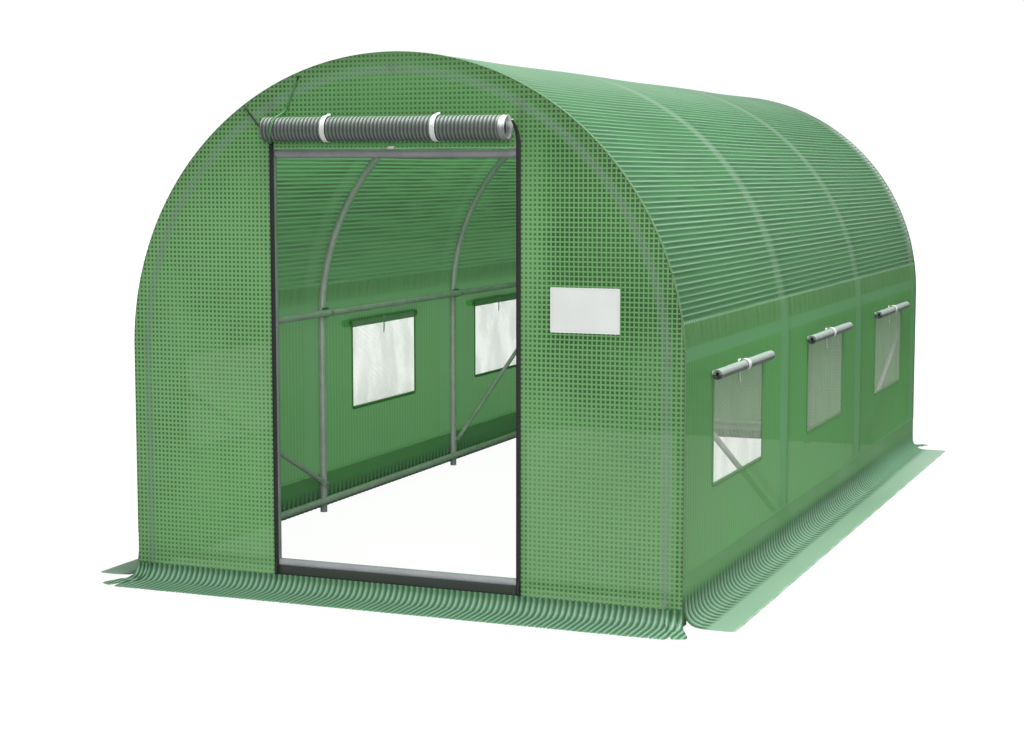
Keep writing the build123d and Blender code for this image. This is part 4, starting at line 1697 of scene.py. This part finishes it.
def taut_cord(name, points, radius, material):
    """A taut cord along a smooth line."""
    clear()
    bpy.ops.curve.primitive_nurbs_path_add()
    cord = named(name)
    line = cord.data.splines[0]
    if len(points) > len(line.points):
        line.points.add(len(points) - len(line.points))
    for point, place in zip(line.points, points):
        point.co = (*place, 1.0)
    line.order_u = 3
    line.use_endpoint_u = True
    cord.data.bevel_depth = radius
    cord.data.bevel_resolution = 3
    cord.data.use_fill_caps = True
    cord.data.resolution_u = 6
    settle(cord)
    bpy.ops.object.convert(target="MESH")
    made = bpy.context.object
    made.data.materials.clear()
    made.data.materials.append(material)
    return made


class TUNNEL_OT_tie_cord(bpy.types.Operator):
    """Ties the rolled door to the arch with a cord"""

    bl_idname = "tunnel.tie_cord"
    bl_label = "Tie cord"

    def execute(self, context):
        low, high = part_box("door_tie_cord")
        front = -HALF_LENGTH - 0.0033
        zip_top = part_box("left_door_zip")[1][2]
        knot = Vector((-DOOR_HALF - ZIP_WIDTH / 2, -HALF_LENGTH - 0.0063, zip_top + 0.0063))
        over = (ROLL_RADIUS + 0.0033) / math.cos(math.radians(15))
        left_x = low[0] + 0.0022
        left = Vector((left_x, front, SPRING + math.sqrt((HALF_WIDTH - 0.0115) ** 2 - left_x**2)))
        right = Vector((high[0] - 0.0025, front, high[2] - 0.003))
        top = Vector((knot.x + 0.064, front, ROLL_Z + over * 1.4))
        dark_end = right.lerp(top, 0.16)
        middle = (left + knot) / 2
        wrap = []
        for step in range(8):
            angle = math.radians(90 + 30 * step)
            slip = 0.052 * ((step + 1) / 8) ** 2
            wrap.append((top.x - slip, ROLL_Y + over * math.cos(angle), ROLL_Z + over * math.sin(angle)))
        left_points = [left, left.lerp(middle, 0.7), middle, middle.lerp(knot, 0.6), knot]
        end_points = [right.lerp(dark_end, quarter / 4) for quarter in range(5)]
        right_points = [dark_end, right.lerp(top, 0.5), right.lerp(top, 0.85), top, *wrap, knot]

        black = cord_finish("black_cord", context.scene.tunnel_door.zip_colour)
        green = cord_finish("green_cord", GREEN_CORD)
        clear()
        bpy.ops.mesh.primitive_uv_sphere_add(
            segments=20, ring_count=12, radius=KNOT_RADIUS, location=knot
        )
        ball = context.object
        settle(ball)
        edit(ball)
        pick(ball, lambda c: abs(c.z - knot.z) < 0.0012)
        widen(x=0.82, y=0.82, center_override=tuple(knot))
        clear()
        ball.data.materials.append(black)
        parts = [
            taut_cord("cord_left", left_points, CORD_RADIUS, black),
            ball,
            taut_cord("cord_end", end_points, CORD_RADIUS, black),
            taut_cord("cord_right", right_points, THICK_CORD_RADIUS, green),
        ]
        piece = join(parts, "door_cord")
        choose(piece)
        bpy.ops.object.shade_smooth()
        settle_piece(piece, None, "black_zip", "door_tie_cord")
        return {"FINISHED"}


class TUNNEL_OT_welts(bpy.types.Operator):
    """Sews a welt along each end of the roof"""

    bl_idname = "tunnel.welts"
    bl_label = "Welts"

    def execute(self, context):
        material = hem_finish("welt", 0.60, 0.10)
        middle = HALF_LENGTH - WELT_WIDTH / 2
        for name, end in (("front_welt", -1), ("rear_welt", 1)):
            start = (FILM_RADIUS + 0.0012, end * middle, STRIP_TOP)
            welt = start_line(name, "Y", WELT_WIDTH, start, (3,))
            draw_out(z=SPRING - STRIP_TOP)
            turn_round(ARCH, (0, -1, 0), math.pi, 144)
            draw_out(z=STRIP_TOP - SPRING)
            pick(welt, lambda c: abs(abs(c.y) - middle) < 0.004)
            puff(0.0012)
            tidy(welt, from_arch)
            settle_piece(welt, material, "wall_film")
        return {"FINISHED"}


class TUNNEL_OT_bolts(bpy.types.Operator):
    """Puts a bolt through each saddle and brace end"""

    bl_idname = "tunnel.bolts"
    bl_label = "Bolts"

    def execute(self, context):
        size = context.scene.tunnel_frame.bolt_size
        clear()
        bpy.ops.mesh.primitive_cylinder_add(vertices=6, radius=size / 2, depth=size * 0.45)
        head = context.object
        edit(head)
        pick_faces(head, lambda c, n: n.z > 0.9)
        bpy.ops.mesh.inset(thickness=size * 0.06)
        draw_out(z=size * 0.05)
        modify(head, "BEVEL", width=size * 0.03, segments=2)
        bpy.ops.mesh.primitive_cylinder_add(
            vertices=20, radius=size * 0.72, depth=size * 0.12, location=(0, 0, -size * 0.25)
        )
        washer = context.object
        settle(washer)
        modify(washer, "BEVEL", width=size * 0.03, segments=1)
        bolt = join([head, washer], "bolt")

        rail_x = RAIL_LOW[0] - size * 0.30
        ridge_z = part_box("ridge_rail")[0][2] - size * 0.30
        brace_x = BRACES_LOW[0] + 0.006 - size * 0.30
        places = []
        for y in HOOPS:
            for sign in (1, -1):
                places.append(((sign * rail_x, y, RAIL_Z), (-sign, 0, 0)))
            places.append(((0.0, y, ridge_z), (0, 0, -1)))
        for sign in (1, -1):
            for y in HOOPS:
                z = BRACES_HIGH[2] - 0.016 if y in (HOOPS[0], HOOPS[3]) else BRACES_LOW[2] + 0.016
                places.append(((sign * brace_x, y, z), (-sign, 0, 0)))
        bolts = []
        for place, facing in places:
            choose(bolt)
            bpy.ops.object.duplicate(linked=False)
            made = context.object
            made.location = place
            made.rotation_euler = Vector(facing).to_track_quat("Z", "Y").to_euler()
            settle(made)
            bolts.append(made)
        bpy.data.objects.remove(bolt)
        settle_piece(join(bolts, "frame_bolts"), bolt_finish(), "steel_tube")
        return {"FINISHED"}


class TUNNEL_PT_panel(bpy.types.Panel):
    """Lists what the tunnel is made of"""

    bl_label = "Polytunnel greenhouse"
    bl_idname = "TUNNEL_PT_panel"
    bl_space_type = "VIEW_3D"
    bl_region_type = "UI"
    bl_category = "Tunnel"

    def draw(self, context):
        for settings in SETTINGS:
            group = getattr(context.scene, settings)
            for name in group.bl_rna.properties.keys():
                if name not in ("rna_type", "name"):
                    self.layout.prop(group, name)
        for step in STEPS:
            self.layout.operator(step.bl_idname)


SETTINGS = {
    "tunnel_film": FilmSettings,
    "tunnel_door": DoorSettings,
    "tunnel_frame": FrameSettings,
    "tunnel_stage": StageSettings,
}
STEPS = (
    TUNNEL_OT_stage,
    TUNNEL_OT_frame,
    TUNNEL_OT_roof,
    TUNNEL_OT_sides,
    TUNNEL_OT_ends,
    TUNNEL_OT_skirts,
    TUNNEL_OT_corners,
    TUNNEL_OT_windows,
    TUNNEL_OT_rolled_door,
    TUNNEL_OT_door_straps,
    TUNNEL_OT_rolled_windows,
    TUNNEL_OT_zips,
    TUNNEL_OT_tie_cord,
    TUNNEL_OT_welts,
    TUNNEL_OT_bolts,
)


def register():
    for made in (*SETTINGS.values(), *STEPS, TUNNEL_PT_panel):
        bpy.utils.register_class(made)
    for name, made in SETTINGS.items():
        setattr(bpy.types.Scene, name, PointerProperty(type=made))


def unregister():
    for name in SETTINGS:
        delattr(bpy.types.Scene, name)
    for made in (TUNNEL_PT_panel, *reversed(STEPS), *reversed(SETTINGS.values())):
        bpy.utils.unregister_class(made)


def main():
    register()
    for step in STEPS:
        group, name = step.bl_idname.split(".")
        getattr(getattr(bpy.ops, group), name)()


if __name__ == "__main__":
    main()
